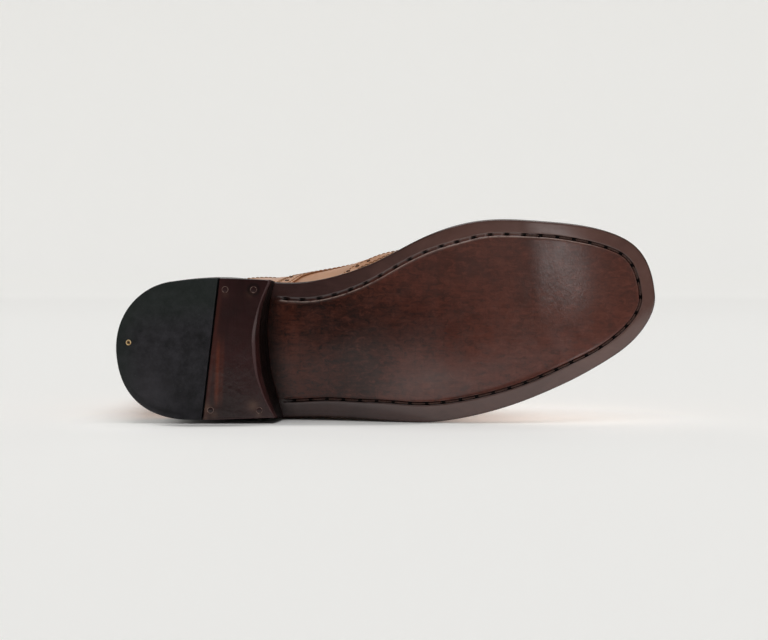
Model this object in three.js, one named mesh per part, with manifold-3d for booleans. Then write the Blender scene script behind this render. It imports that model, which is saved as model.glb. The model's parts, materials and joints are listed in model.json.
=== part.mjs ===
// Left brogue boot in leather, lying on its lateral side.
//
// Everything is modelled first in the boot's own axes, in millimetres:
//   x  from the back of the heel to the toe tip
//   y  to the lateral side (the left side of a left boot), medial is negative
//   z  up from the ground plane that heel and forefoot would stand on
// At the end the whole boot is turned over onto its lateral side, so that the
// sole's edge, the heel seat's edge and the side of the shaft lie on z = 0.
import * as THREE from 'three';
import { mergeVertices } from 'three/addons/utils/BufferGeometryUtils.js';
import Module from 'manifold-3d';

// ---------------------------------------------------------------- main sizes
const LENGTH = 302;            // outsole, heel back to toe tip
const SOLE_THICK = 5;          // one leather outsole
const GAP = 0.3;               // between neighbouring pieces
const WALL = 2.2;              // upper leather with its lining
const INSOLE_THICK = 2.5;
const LASTING_MARGIN = 13;     // width of the upper turned in under the insole
const TOP_PIECE_THICK = 6;     // heel top piece, rubber quarter and leather
const SEAT_CLEAR = GAP;        // heel stack to outsole
const HEEL_ROUND = 35;         // length over which the heel end rounds off
const HEEL_POWER = { med: 2.08, lat: 2.2 }; // how full that rounding is on each side
const TOE_ROUND = 60;          // length over which the toe rounds off
const TOE_POWER = { med: 2.38, lat: 2.3 }; // how full the sole's toe is on each side
const UPPER_BACK = 1.6;        // upper behind the heel seat starts here
const UPPER_TIP = 297.6;       // toe tip of the upper
const TOE_BOX_ROUND = 27;      // length over which the toe box's top rounds down
const TONGUE_THICK = 2;
const TONGUE_CLEAR = 0.8;      // tongue under the facings
const LACE_R = 1.2;
const EYELET = { rows: 6, hole: 2.5, bore: 1.9, barrel: 2.2, flange: 3.6, flangeThick: 0.7, lift: 0.4, drop: 1.8 };
const NAIL_DEPTH = 4;
const SLIVER = 0.03;           // facets thinner than this are merged after a cut

// ------------------------------------------------------------------- tables
// Half widths of the outsole before its two ends are rounded off.
const SOLE = [
  { x: 0, med: 37.6, lat: 38.0 },
  { x: 20, med: 38.2, lat: 38.8 },
  { x: 45, med: 38.8, lat: 41.0 },
  { x: 70, med: 36.4, lat: 43.3 },
  { x: 90, med: 31.6, lat: 45.4 },
  { x: 110, med: 29.3, lat: 47.5 },
  { x: 130, med: 31.1, lat: 50.6 },
  { x: 150, med: 35.9, lat: 54.4 },
  { x: 170, med: 43.4, lat: 56.7 },
  { x: 190, med: 49.1, lat: 56.0 },
  { x: 210, med: 51.0, lat: 53.3 },
  { x: 230, med: 49.0, lat: 48.6 },
  { x: 250, med: 45.3, lat: 42.6 },
  { x: 270, med: 43.1, lat: 37.4 },
  { x: 288, med: 43.4, lat: 33.8 },
  { x: 302, med: 46.6, lat: 29.2 },
];
// The same for the bottom of the heel.
const TOP_PIECE = [
  { x: 0, med: 37.4, lat: 36.8 },
  { x: 20, med: 37.8, lat: 36.9 },
  { x: 45, med: 38.3, lat: 39.8 },
  { x: 70, med: 35.9, lat: 42.1 },
  { x: 90, med: 32.6, lat: 43.9 },
  { x: 110, med: 30.0, lat: 45.5 },
];
// Height of the outsole's underside: heel seat, arch, flat tread, toe spring.
const SOLE_LINE = [
  { x: 0, z: 24.6 },
  { x: 45, z: 24.2 },
  { x: 80, z: 22.2 },
  { x: 95, z: 20.0 },
  { x: 110, z: 16.6 },
  { x: 125, z: 12.6 },
  { x: 140, z: 8.8 },
  { x: 155, z: 5.4 },
  { x: 170, z: 2.6 },
  { x: 183, z: 0.8 },
  { x: 194, z: 0 },
  { x: 232, z: 0 },
  { x: 246, z: 1.0 },
  { x: 262, z: 3.2 },
  { x: 280, z: 7.2 },
  { x: 302, z: 14 },
];
// Half widths of the upper: where it meets the sole, and at its widest.
const UPPER_PLAN = [
  { x: 0, footMed: 35.6, footLat: 36.6, wideMed: 36.2, wideLat: 37.6 },
  { x: 20, footMed: 36.0, footLat: 37.0, wideMed: 36.8, wideLat: 37.8 },
  { x: 45, footMed: 36.2, footLat: 38.6, wideMed: 36.5, wideLat: 39.2 },
  { x: 70, footMed: 34.0, footLat: 40.2, wideMed: 34.5, wideLat: 41.4 },
  { x: 90, footMed: 30.4, footLat: 42.2, wideMed: 33.6, wideLat: 43.9 },
  { x: 110, footMed: 28.6, footLat: 44.4, wideMed: 34.5, wideLat: 46.5 },
  { x: 130, footMed: 29.9, footLat: 47.0, wideMed: 36.3, wideLat: 49.2 },
  { x: 150, footMed: 32.6, footLat: 49.6, wideMed: 40.3, wideLat: 51.8 },
  { x: 170, footMed: 38.4, footLat: 51.4, wideMed: 42.2, wideLat: 53.2 },
  { x: 190, footMed: 43.4, footLat: 50.4, wideMed: 45.4, wideLat: 52.2 },
  { x: 210, footMed: 45.4, footLat: 47.6, wideMed: 47.0, wideLat: 49.2 },
  { x: 230, footMed: 43.6, footLat: 42.8, wideMed: 45.0, wideLat: 44.2 },
  { x: 250, footMed: 40.2, footLat: 37.2, wideMed: 41.4, wideLat: 38.4 },
  { x: 270, footMed: 38.8, footLat: 32.4, wideMed: 39.8, wideLat: 33.4 },
  { x: 288, footMed: 39.4, footLat: 28.6, wideMed: 40.2, wideLat: 29.4 },
  { x: 298, footMed: 40.0, footLat: 25.0, wideMed: 40.6, wideLat: 25.6 },
];
// Ridge of the vamp seen from the side, and its shift towards the big toe.
const RIDGE = [
  { x: 120, z: 118, shift: 0 },
  { x: 160, z: 100, shift: -2 },
  { x: 178, z: 88, shift: -3.6 },
  { x: 195, z: 77.5, shift: -4.8 },
  { x: 213, z: 68, shift: -5 },
  { x: 232, z: 59.2, shift: -4.4 },
  { x: 252, z: 52.4, shift: -3.4 },
  { x: 272, z: 47.4, shift: -2.2 },
  { x: 298, z: 42.0, shift: -1.4 },
];
// Back of the heel and shaft seen from the side, with the length over which
// each height's outline rounds off there.
const BACK = [
  { z: 20, x: 1.6, round: 36 },
  { z: 30, x: 1.2, round: 37 },
  { z: 48, x: -0.4, round: 39 },
  { z: 70, x: 1.8, round: 42 },
  { z: 92, x: 6.0, round: 46 },
  { z: 112, x: 7.2, round: 50 },
  { z: 132, x: 5.6, round: 52 },
  { z: 152, x: 3.2, round: 54 },
  { z: 180, x: 1.0, round: 56 },
];
// Half widths of ankle and shaft by height.
const SHAFT = [
  { z: 20, med: 36.4, lat: 39.6 },
  { z: 60, med: 35.2, lat: 39.2 },
  { z: 85, med: 34.2, lat: 38.2 },
  { z: 105, med: 34.0, lat: 37.6 },
  { z: 130, med: 35.6, lat: 38.2 },
  { z: 155, med: 37.4, lat: 39.4 },
  { z: 185, med: 38.6, lat: 40.2 },
];
// Section planes that fan out from the instep round the heel and up the shaft.
// b is the lower or back end, t the upper or front end of each section;
// onSole rows start on the sole. arch and power shape the top of the section.
const FAN = [
  { bx: 178, bz: 0, tx: 178, tz: 88, onSole: 1, arch: 72, power: 1.82 },
  { bx: 156, bz: 0, tx: 162.5, tz: 98.6, onSole: 1, arch: 76, power: 1.82 },
  { bx: 132, bz: 0, tx: 150.5, tz: 108.4, onSole: 1, arch: 76, power: 1.84 },
  { bx: 106, bz: 0, tx: 141.8, tz: 117.4, onSole: 1, arch: 74, power: 1.88 },
  { bx: 80, bz: 0, tx: 135.8, tz: 125.4, onSole: 1, arch: 72, power: 1.92 },
  { bx: 54, bz: 0, tx: 131.4, tz: 132.4, onSole: 1, arch: 70, power: 1.96 },
  { bx: 30, bz: 0, tx: 128.2, tz: 138.2, onSole: 1, arch: 68, power: 2.0 },
  { bx: 11, bz: 0, tx: 125.8, tz: 143.2, onSole: 1, arch: 66, power: 2.02 },
  { bx: 0, bz: 30, tx: 123.8, tz: 147.8, onSole: 0, arch: 64, power: 2.04 },
  { bx: 0, bz: 47, tx: 122.0, tz: 152.2, onSole: 0, arch: 62, power: 2.06 },
  { bx: 0, bz: 70, tx: 120.6, tz: 156.8, onSole: 0, arch: 60, power: 2.08 },
  { bx: 0, bz: 96, tx: 119.4, tz: 162.0, onSole: 0, arch: 59, power: 2.1 },
  { bx: 0, bz: 122, tx: 118.4, tz: 168.0, onSole: 0, arch: 58, power: 2.1 },
  { bx: 0, bz: 148, tx: 117.6, tz: 174.4, onSole: 0, arch: 58, power: 2.1 },
  { bx: 0, bz: 172, tx: 117.0, tz: 181.0, onSole: 0, arch: 58, power: 2.1 },
];
// Top line of the shaft seen from the side.
const COLLAR = [
  { x: -20, z: 152 },
  { x: 5, z: 151 },
  { x: 35, z: 147.5 },
  { x: 70, z: 148 },
  { x: 100, z: 153.5 },
  { x: 119, z: 158.5 },
  { x: 150, z: 164 },
];
// Lacing: distance along the front of the section fan, half opening, eyelet row.
const THROAT = [
  { s: 1.9, half: 3.0 },
  { s: 4, half: 6.0 },
  { s: 7, half: 8.0 },
  { s: 12, half: 10.5 },
  { s: 16, half: 12.0 },
];
const EYELET_AT = [2.55, 3.75, 5.2, 6.9, 8.8, 10.6];
// Nails in the bottom of the heel, y towards the lateral side.
const NAILS = [
  { name: 'heel_nail_back', x: 8.1, y: -7.8, r: 1.5, brass: 1 },
  { name: 'heel_nail_front_medial', x: 80.2, y: -28.3, r: 1.8, brass: 0 },
  { name: 'heel_nail_rear_medial', x: 64.6, y: -30.3, r: 1.8, brass: 0 },
  { name: 'heel_nail_front_lateral', x: 75.1, y: 38.2, r: 1.8, brass: 0 },
  { name: 'heel_nail_rear_lateral', x: 48.4, y: 34.8, r: 1.8, brass: 0 },
];
// Line between the rubber quarter and the leather of the top piece.
const SPLIT = { medX: 61.4, medY: -37, latX: 44.0, latY: 40, width: 0.8 };
// Heel breast: an arc at the bottom, straighter and further forward at the seat.
const BREAST = [
  { y: -46, bottom: 98.5, seat: 99.0 },
  { y: -31.8, bottom: 89.8, seat: 91.4 },
  { y: -16.7, bottom: 81.2, seat: 86.4 },
  { y: 0, bottom: 76.4, seat: 83.6 },
  { y: 16, bottom: 75.9, seat: 83.2 },
  { y: 30, bottom: 78.6, seat: 84.6 },
  { y: 43.3, bottom: 83.4, seat: 86.4 },
  { y: 56, bottom: 89.6, seat: 90.2 },
];

// ------------------------------------------------------------ small helpers
// Smooth curve through a table that never overshoots its rows.
function look(table, key, col, v) {
  const n = table.length;
  if (v <= table[0][key]) return table[0][col];
  if (v >= table[n - 1][key]) return table[n - 1][col];
  let i = 0;
  while (v > table[i + 1][key]) i++;
  const h = (k) => table[k + 1][key] - table[k][key];
  const d = (k) => (table[k + 1][col] - table[k][col]) / h(k);
  const slope = (k) => {
    if (k === 0) return d(0);
    if (k === n - 1) return d(n - 2);
    const a = d(k - 1), b = d(k);
    if (a * b <= 0) return 0;
    const w1 = 2 * h(k) + h(k - 1), w2 = h(k) + 2 * h(k - 1);
    return (w1 + w2) / (w1 / a + w2 / b);
  };
  const t = (v - table[i][key]) / h(i), H = h(i);
  const t2 = t * t, t3 = t2 * t;
  return (2 * t3 - 3 * t2 + 1) * table[i][col] + (t3 - 2 * t2 + t) * H * slope(i)
    + (3 * t2 - 2 * t3) * table[i + 1][col] + (t3 - t2) * H * slope(i + 1);
}
// Natural cubic spline through a column, for outlines whose curvature must flow.
const splines = new Map();
function flow(table, key, col, v) {
  if (!splines.has(table)) splines.set(table, {});
  const store = splines.get(table), n = table.length;
  if (!store[col]) {
    const x = table.map((r) => r[key]), y = table.map((r) => r[col]), m = new Array(n).fill(0), u = new Array(n).fill(0);
    for (let i = 1; i < n - 1; i++) {
      const g = (x[i] - x[i - 1]) / (x[i + 1] - x[i - 1]), q = g * m[i - 1] + 2;
      m[i] = (g - 1) / q;
      u[i] = (6 * ((y[i + 1] - y[i]) / (x[i + 1] - x[i]) - (y[i] - y[i - 1]) / (x[i] - x[i - 1])) / (x[i + 1] - x[i - 1]) - g * u[i - 1]) / q;
    }
    m[n - 1] = 0;
    for (let i = n - 2; i >= 0; i--) m[i] = m[i] * m[i + 1] + u[i];
    store[col] = m;
  }
  const m = store[col];
  v = Math.min(table[n - 1][key], Math.max(table[0][key], v));
  let i = 0;
  while (i < n - 2 && v > table[i + 1][key]) i++;
  const h = table[i + 1][key] - table[i][key], a = (table[i + 1][key] - v) / h, b = 1 - a;
  return a * table[i][col] + b * table[i + 1][col] + ((a * a * a - a) * m[i] + (b * b * b - b) * m[i + 1]) * h * h / 6;
}
const clamp = (v, a, b) => Math.min(b, Math.max(a, v));
const smooth = (v, a, b) => { const t = clamp((v - a) / (b - a), 0, 1); return t * t * (3 - 2 * t); };
// 0 at distance 0, 1 from distance r on, with a round start.
const round = (d, r, p) => Math.pow(1 - Math.pow(1 - clamp(d / r, 0, 1), p), 1 / p);

const soleZ = (x) => look(SOLE_LINE, 'x', 'z', clamp(x, 0, LENGTH));
const backX = (z) => flow(BACK, 'z', 'x', z);

// ------------------------------------------------------------- plan outlines
// Half width of a plan outline at x. side is 'med' or 'lat'.
function soleHalf(x, side, table = SOLE, back = 0, tip = LENGTH) {
  return flow(table, 'x', side, x) * round(x - back, HEEL_ROUND, HEEL_POWER[side]) * round(tip - x, TOE_ROUND, TOE_POWER[side]);
}
function stations(a, b, n, endA, endB, extra = []) {
  // clustered towards the ends that are rounded
  const xs = [];
  for (let i = 0; i <= n; i++) {
    const u = i / n;
    let t = u;
    if (endA && endB) t = 0.5 - 0.5 * Math.cos(Math.PI * u);
    else if (endA) t = 1 - Math.cos(Math.PI * u / 2);
    xs.push(a + (b - a) * (0.82 * t + 0.18 * (endA && endB ? smooth(u, 0, 1) : u * u)));
  }
  for (const e of extra) {
    let k = 1;
    for (let i = 1; i < n; i++) if (Math.abs(xs[i] - e) < Math.abs(xs[k] - e)) k = i;
    xs[k] = e;
  }
  return xs;
}
// Outline as two runs of points over the same stations, then moved in by d.
function outline(xs, half) {
  const run = (side, sign) => xs.map((x) => [x, sign * half(x, side)]);
  return { lat: run('lat', 1), med: run('med', -1) };
}
function inset(o, d) {
  if (!d) return o;
  const n = o.lat.length;
  const loop = [...o.lat, ...o.med.slice(1, -1).reverse()];
  const m = loop.length;
  const moved = loop.map((p, i) => {
    const a = loop[(i + m - 1) % m], b = loop[(i + 1) % m];
    const tx = b[0] - a[0], ty = b[1] - a[1], l = Math.hypot(tx, ty) || 1;
    return [p[0] + d * ty / l, p[1] - d * tx / l];
  });
  const lat = moved.slice(0, n);
  const med = [moved[0], ...moved.slice(n).reverse(), moved[n - 1]];
  return { lat, med };
}

// ------------------------------------------------------------- mesh building
const wasm = await Module();
wasm.setup();
function geometry(points, faces) {
  const g = new THREE.BufferGeometry();
  const flat = new Float32Array(faces.length * 9);
  faces.forEach((f, i) => f.forEach((k, j) => flat.set(points[k], i * 9 + j * 3)));
  g.setAttribute('position', new THREE.BufferAttribute(flat, 3));
  return g;
}
function toSolid(g) {
  g = g.clone();
  g.deleteAttribute('normal');
  g.deleteAttribute('uv');
  g = mergeVertices(g, 2e-3);
  const p = g.attributes.position.array, idx = [];
  for (let i = 0; i < g.index.count; i += 3) {
    const [a, b, c] = [g.index.getX(i), g.index.getX(i + 1), g.index.getX(i + 2)];
    if (a !== b && b !== c && c !== a) idx.push(a, b, c);
  }
  const mesh = new wasm.Mesh({ numProp: 3, vertProperties: Float32Array.from(p), triVerts: Uint32Array.from(idx) });
  return new wasm.Manifold(mesh);
}
// A solid with its faces pointing out, whichever way its rings were run.
function orient(g) {
  const s = toSolid(g);
  if (s.volume() >= 0) return s;
  const p = g.attributes.position, out = new Float32Array(p.count * 3);
  for (let i = 0; i < p.count; i += 3) [0, 2, 1].forEach((k, j) => out.set([p.getX(i + k), p.getY(i + k), p.getZ(i + k)], (i + j) * 3));
  const h = new THREE.BufferGeometry();
  h.setAttribute('position', new THREE.BufferAttribute(out, 3));
  return toSolid(h);
}
function fromSolid(m) {
  const mesh = m.getMesh();
  const n = mesh.vertProperties.length / mesh.numProp;
  const pos = new Float32Array(n * 3);
  for (let i = 0; i < n; i++) for (let k = 0; k < 3; k++) pos[i * 3 + k] = mesh.vertProperties[i * mesh.numProp + k];
  const g = new THREE.BufferGeometry();
  g.setAttribute('position', new THREE.BufferAttribute(pos, 3));
  g.setIndex(new THREE.BufferAttribute(Uint32Array.from(mesh.triVerts), 1));
  return g;
}
// Rings of equal length, joined in order, closed round or left as a band, capped.
function loft(rings, capRing) {
  const pts = rings.flat(), n = rings[0].length, f = [];
  for (let r = 0; r + 1 < rings.length; r++) for (let i = 0; i < n; i++) {
    const a = r * n + i, b = r * n + (i + 1) % n, c = a + n, d = b + n;
    f.push([a, b, d], [a, d, c]);
  }
  for (const [r, flip] of [[0, true], [rings.length - 1, false]]) {
    for (const t of capRing(rings[r])) {
      const q = t.map((k) => r * n + k);
      f.push(flip ? [q[0], q[2], q[1]] : q);
    }
  }
  return geometry(pts, f);
}
// A plate between two runs: layers from bottom to top, each { d, z(x) }.
function plate(o, layers, dx = () => 0) {
  const n = o.lat.length;
  const rings = layers.map((L) => {
    const q = inset(L.outline ?? o, L.d ?? 0);
    const at = (p) => [p[0], p[1], L.z(p[0], p[1])];
    return [...q.lat.map(at), ...q.med.slice(1, -1).reverse().map(at)];
  });
  const m = rings[0].length;
  const cap = () => {
    const tri = [];
    const med = (i) => (i === 0 ? 0 : i === n - 1 ? n - 1 : m - i);
    for (let i = 0; i + 1 < n; i++) {
      const a = i, b = i + 1, c = med(i + 1), d = med(i);
      if (b !== c) tri.push([a, b, c]);
      if (a !== d) tri.push([a, c, d]);
    }
    return tri;
  };
  // the loop runs heel to toe on the lateral side and back on the medial side,
  // which is clockwise from above
  const pts = rings.flat(), f = [];
  for (let r = 0; r + 1 < rings.length; r++) for (let i = 0; i < m; i++) {
    const a = r * m + i, b = r * m + (i + 1) % m, c = a + m, d = b + m;
    f.push([a, d, b], [a, c, d]);
  }
  const top = (rings.length - 1) * m;
  for (const t of cap()) {
    f.push([t[0], t[1], t[2]]);
    f.push([top + t[0], top + t[2], top + t[1]]);
  }
  return geometry(pts, f);
}
// Prism of a shape drawn in two named axes, from lo to hi along the third.
function prism(shapePoints, frame, depth) {
  const shape = new THREE.Shape(shapePoints.map((p) => new THREE.Vector2(p[0], p[1])));
  const g = new THREE.ExtrudeGeometry(shape, { depth, bevelEnabled: false, curveSegments: 1 });
  g.applyMatrix4(frame);
  return g;
}
const basis = (o, u, v, w) => new THREE.Matrix4().makeBasis(new THREE.Vector3(...u), new THREE.Vector3(...v), new THREE.Vector3(...w)).setPosition(...o);

// ------------------------------------------------------- surface of the upper
const S_TOE = 1, S_VAMP = 2, S_END = S_VAMP + FAN.length - 1;
const TOE_FROM = 240, VAMP_FROM = FAN[0].bx;
const fanKeyed = FAN.map((r, i) => ({ ...r, s: S_VAMP + i }));
const footZ = (x) => soleZ(x) + SOLE_THICK + GAP;
// ends of the section at s, moved in by t
function section(s, t) {
  if (s <= S_VAMP) {
    const x = s < S_TOE
      ? (UPPER_TIP - t) - (UPPER_TIP - t - TOE_FROM) * (1 - Math.cos(s * Math.PI / 2))
      : TOE_FROM + (VAMP_FROM - TOE_FROM) * (s - S_TOE) / (S_VAMP - S_TOE);
    const z0 = footZ(x) + t, ridge = flow(RIDGE, 'x', 'z', x) - t;
    const z1 = z0 + (ridge - z0) * round(UPPER_TIP - t - x, TOE_BOX_ROUND, 2.2);
    return { bx: x, bz: z0, tx: x, tz: z1, arch: (z1 - z0) * (0.86 + 0.04 * smooth(x, 260, 178)), power: 1.82 + 0.55 * smooth(x, 190, 262) };
  }
  const g = (c) => look(fanKeyed, 's', c, s);
  const on = g('onSole');
  let bx = g('bx'), bz = g('bz');
  const tx0 = g('tx'), tz0 = g('tz');
  if (s <= S_VAMP + 7) { bz = footZ(bx) + t; }
  else if (s < S_VAMP + 8) {
    const k = s - S_VAMP - 7;
    bz = footZ(0) + t + (30.4 - footZ(0) + 0) * k * k * 0;
    bx = look([{ k: 0, x: 11 }, { k: 1, x: backX(30) + t }], 'k', 'x', k);
  } else { bz = bz + t * (1 - smooth(s, S_VAMP + 8, S_VAMP + 9.5)); bx = backX(bz) + t; }
  // the front end moves in along its own section
  const lx = bx - tx0, lz = bz - tz0, l = Math.hypot(lx, lz);
  const m = t * 1.06 / l;
  return { bx, bz, tx: tx0 + lx * m, tz: tz0 + lz * m, arch: g('arch'), power: g('power') };
}
// Point of the upper: s runs from the toe tip over the instep to the collar,
// w from the sole or the back up to the ridge or the front, t is the inset.
function upperPoint(s, w, side, t = 0) {
  const c = section(s, t);
  const x = c.bx + (c.tx - c.bx) * w, z = c.bz + (c.tz - c.bz) * w;
  const L = Math.hypot(c.tx - c.bx, c.tz - c.bz);
  const key = side > 0 ? 'Lat' : 'Med';
  const up = smooth(z - footZ(clamp(x, 0, LENGTH)) - t, -5, 27);
  const foot = flow(UPPER_PLAN, 'x', 'foot' + key, x), wide = flow(UPPER_PLAN, 'x', 'wide' + key, x);
  const low = foot + (wide - foot) * up;
  const high = flow(SHAFT, 'z', key.toLowerCase(), z);
  const k = smooth(z, 52, 112);
  const W = low + (high - low) * k - t;
  const back = round(x - backX(z) - t, look(BACK, 'z', 'round', z), 2.04);
  const toe = round(UPPER_TIP - t - x, TOE_ROUND - 2, 2.3);
  const top = round((1 - w) * L, Math.min(c.arch, L), c.power);
  const shift = flow(RIDGE, 'x', 'shift', x);
  return [x, side * W * back * toe * top + shift * (1 - top), z];
}
// Even steps v from 0 to 1 become steps w that crowd where the wall turns.
function wOf(s, v) {
  const foot = 1 - (1 - v) * (1 - v) * (1 - 0.25 * v);
  const oval = 0.5 - 0.5 * Math.cos(Math.PI * v);
  return foot + (oval - foot) * smooth(s, S_VAMP + 2.5, S_VAMP + 6);
}
function normalAt(s, w, side) {
  const e = 1e-3, p = (a, b) => new THREE.Vector3(...upperPoint(a, b, side));
  const w0 = Math.min(w, 1 - 2 * e);
  const n = p(s + e, w0).sub(p(s - e, w0)).cross(p(s, w0 + e).sub(p(s, w0 - e))).normalize();
  if (n.y * side < 0) n.negate();
  return n;
}
// w of the point whose y is the wanted one, near the front of section s
function wAtY(s, y, t = 0) {
  const side = y >= flow(RIDGE, 'x', 'shift', section(s, t).tx) ? 1 : -1;
  let lo = 0.45, hi = 1;
  for (let i = 0; i < 40; i++) {
    const m = (lo + hi) / 2;
    if (side * (upperPoint(s, m, side, t)[1] - y) > 0) lo = m; else hi = m;
  }
  return [(lo + hi) / 2, side];
}
function upperBody(t, sTo, nv) {
  const ss = [];
  for (let i = 0; i <= 10; i++) ss.push(0.004 + (1 - 0.004) * (i / 10));
  for (let i = 1; i <= 4; i++) ss.push(S_TOE + i / 4);
  for (let s = S_VAMP + 0.5; s < sTo - 0.01; s += s < S_VAMP + 5 ? 0.5 : s < S_VAMP + 9 ? 0.34 : 0.8) ss.push(s);
  ss.push(sTo);
  const rings = ss.map((s) => {
    const ring = [];
    for (let i = 0; i <= nv; i++) ring.push(upperPoint(s, wOf(s, i / nv), 1, t));
    for (let i = nv - 1; i >= 0; i--) ring.push(upperPoint(s, wOf(s, i / nv), -1, t));
    return ring;
  });
  const cap = () => {
    const tri = [], m = 2 * nv + 1;
    for (let i = 0; i < nv; i++) {
      const a = i, b = i + 1, c = m - 2 - i, d = m - 1 - i;
      if (b !== c) tri.push([a, b, c]);
      tri.push([a, c, d]);
    }
    return tri;
  };
  return loft(rings, cap);
}

// ------------------------------------------------------------------- outsole
const soleXs = stations(0, LENGTH, 44, true, true, [194, 232]);
const soleOutline = outline(soleXs, (x, side) => soleHalf(x, side));
const outsole = toSolid(plate(soleOutline, [
  { d: 1.0, z: (x) => soleZ(x) },
  { d: 0, z: (x) => soleZ(x) + 0.9 },
  { d: 0, z: (x) => soleZ(x) + SOLE_THICK - 0.9 },
  { d: 0.9, z: (x) => soleZ(x) + SOLE_THICK },
]));

// -------------------------------------------------- heel stack and top piece
const heelXs = stations(0, 112, 18, true, false);
const bottomOutline = outline(heelXs.map((x) => x + 0.5), (x, side) => soleHalf(x, side, TOP_PIECE, 0.5, 400));
const seatOutline = outline(heelXs, (x, side) => soleHalf(x, side, SOLE, 0, 400));
const between = (a, b, k) => {
  const mix = (p, q) => p.map((c, i) => c + (q[i] - c) * k);
  return { lat: a.lat.map((p, i) => mix(p, b.lat[i])), med: a.med.map((p, i) => mix(p, b.med[i])) };
};
const heelAt = (z) => between(bottomOutline, seatOutline, clamp(z / 24, 0, 1));
const openEnd = (o) => { // the front end is a straight cut, medial and lateral stay apart
  return { lat: o.lat, med: o.med };
};
function heelBody(z0, z1Fn, edge) {
  const topOutline = heelAt(24), low = heelAt(z0);
  const layers = [
    { outline: low, d: edge, z: () => z0 },
    { outline: heelAt(z0 + edge), d: 0, z: () => z0 + edge },
    { outline: z1Fn.flat ? heelAt(z1Fn.flat) : topOutline, d: 0, z: (x) => (z1Fn.flat ? z1Fn.flat : z1Fn(x)) },
  ];
  // close the front: rings run round both sides, the end quad joins them
  const rings = layers.map((L) => {
    const q = L.outline;
    const n = q.lat.length;
    const shift = (run, sign) => run.map((p, i) => {
      const a = run[Math.max(0, i - 1)], b = run[Math.min(n - 1, i + 1)];
      const tx = b[0] - a[0], ty = b[1] - a[1], l = Math.hypot(tx, ty);
      if (i === 0) return [p[0] + L.d, 0];
      return [p[0] + sign * L.d * ty / l, p[1] - sign * L.d * tx / l];
    });
    const lat = shift(q.lat, 1), med = shift(q.med, -1);
    return [...lat, ...med.slice(1).reverse()].map((p) => [p[0], p[1], L.z(p[0])]);
  });
  const n = low.lat.length, m = rings[0].length, pts = rings.flat(), f = [];
  for (let r = 0; r + 1 < rings.length; r++) for (let i = 0; i < m; i++) {
    const a = r * m + i, b = r * m + (i + 1) % m, c = a + m, d = b + m;
    f.push([a, d, b], [a, c, d]);
  }
  const top = (rings.length - 1) * m;
  for (let i = 0; i + 1 < n; i++) {
    const a = i, b = i + 1, c = m - 1 - i, d = i === 0 ? 0 : m - i;
    const tris = i === 0 ? [[a, b, c]] : [[a, b, c], [a, c, d]];
    for (const t of tris) { f.push(t); f.push([top + t[0], top + t[2], top + t[1]]); }
  }
  return toSolid(geometry(pts, f));
}
// everything in front of the breast, a slanting curved cutter
function breastCutter() {
  const ys = [], lo = -2, hi = 34;
  for (let i = 0; i <= 16; i++) ys.push(-46 + 102 * i / 16);
  const at = (y, z) => {
    const k = clamp((z - 1) / 23, 0, 1.3);
    const a = look(BREAST, 'y', 'bottom', y), b = look(BREAST, 'y', 'seat', y);
    return a + (b - a) * Math.pow(Math.max(0, k), 0.8);
  };
  const zs = [lo, 1, 3, 8, 14, hi];
  const rings = zs.map((z) => [...ys.map((y) => [at(y, z) - (z < 2 ? 0 : 0), y, z]), [160, 56, z], [160, -46, z]]);
  const cap = (ring) => {
    const tri = [], n = ys.length;
    for (let i = 0; i + 1 < n; i++) tri.push([i, n, i + 1]);
    tri.push([0, n + 1, n]);
    return tri;
  };
  const n = rings[0].length, pts = rings.flat(), f = [];
  for (let r = 0; r + 1 < rings.length; r++) for (let i = 0; i < n; i++) {
    const a = r * n + i, b = r * n + (i + 1) % n, c = a + n, d = b + n;
    f.push([a, d, b], [a, c, d]);
  }
  const top = (rings.length - 1) * n;
  for (const t of cap()) { f.push([t[0], t[2], t[1]]); f.push([top + t[0], top + t[1], top + t[2]]); }
  return toSolid(geometry(pts, f));
}
const positive = (m) => { if (m.volume() < 0) throw new Error('solid is inside out'); return m; };
const breast = positive(breastCutter());
const topFlat = Object.assign(() => TOP_PIECE_THICK, { flat: TOP_PIECE_THICK });
const topPiece = heelBody(0, topFlat, 0.7).subtract(breast);
const stack = heelBody(TOP_PIECE_THICK + GAP, (x) => soleZ(x) - SEAT_CLEAR, 0.3).subtract(breast);
// split line between rubber and leather
const splitDir = new THREE.Vector2(SPLIT.latX - SPLIT.medX, SPLIT.latY - SPLIT.medY).normalize();
function sideOfSplit(front) {
  const h = SPLIT.width / 2, far = 140, d = splitDir, n = new THREE.Vector2(d.y, -d.x); // n points to the toe
  const mid = [(SPLIT.medX + SPLIT.latX) / 2, (SPLIT.medY + SPLIT.latY) / 2];
  const s = front ? 1 : -1;
  const p = (a, b) => [mid[0] + d.x * a + n.x * b, mid[1] + d.y * a + n.y * b];
  const q = [p(-far, -s * h), p(far, -s * h), p(far, s * far), p(-far, s * far)];
  return positive(toSolid(prism(q, basis([0, 0, -5], [1, 0, 0], [0, 1, 0], [0, 0, 1]), 40)));
}
const lift = (z) => new THREE.Matrix4().makeTranslation(0, 0, z);
let topLeather = topPiece.subtract(sideOfSplit(false));
let topRubber = topPiece.subtract(sideOfSplit(true));
// nails, flush with the bottom of the heel, each in its own hole
const nailShape = (r, z0, z1, seg) => {
  const g = new THREE.CylinderGeometry(r, r, z1 - z0, seg);
  g.rotateX(Math.PI / 2);
  g.translate(0, 0, (z0 + z1) / 2);
  return g;
};
const nailMeshes = [];
for (const nail of NAILS) {
  const hole = nailShape(nail.r + GAP, -1, NAIL_DEPTH + GAP, 14);
  hole.translate(nail.x, nail.y, 0);
  if (nail.brass) topRubber = topRubber.subtract(toSolid(hole));
  else topLeather = topLeather.subtract(toSolid(hole));
  const body = nailShape(nail.r, 0, NAIL_DEPTH, 14);
  body.translate(nail.x, nail.y, 0);
  nailMeshes.push([nail.name, toSolid(body), nail.brass]);
}

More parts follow.
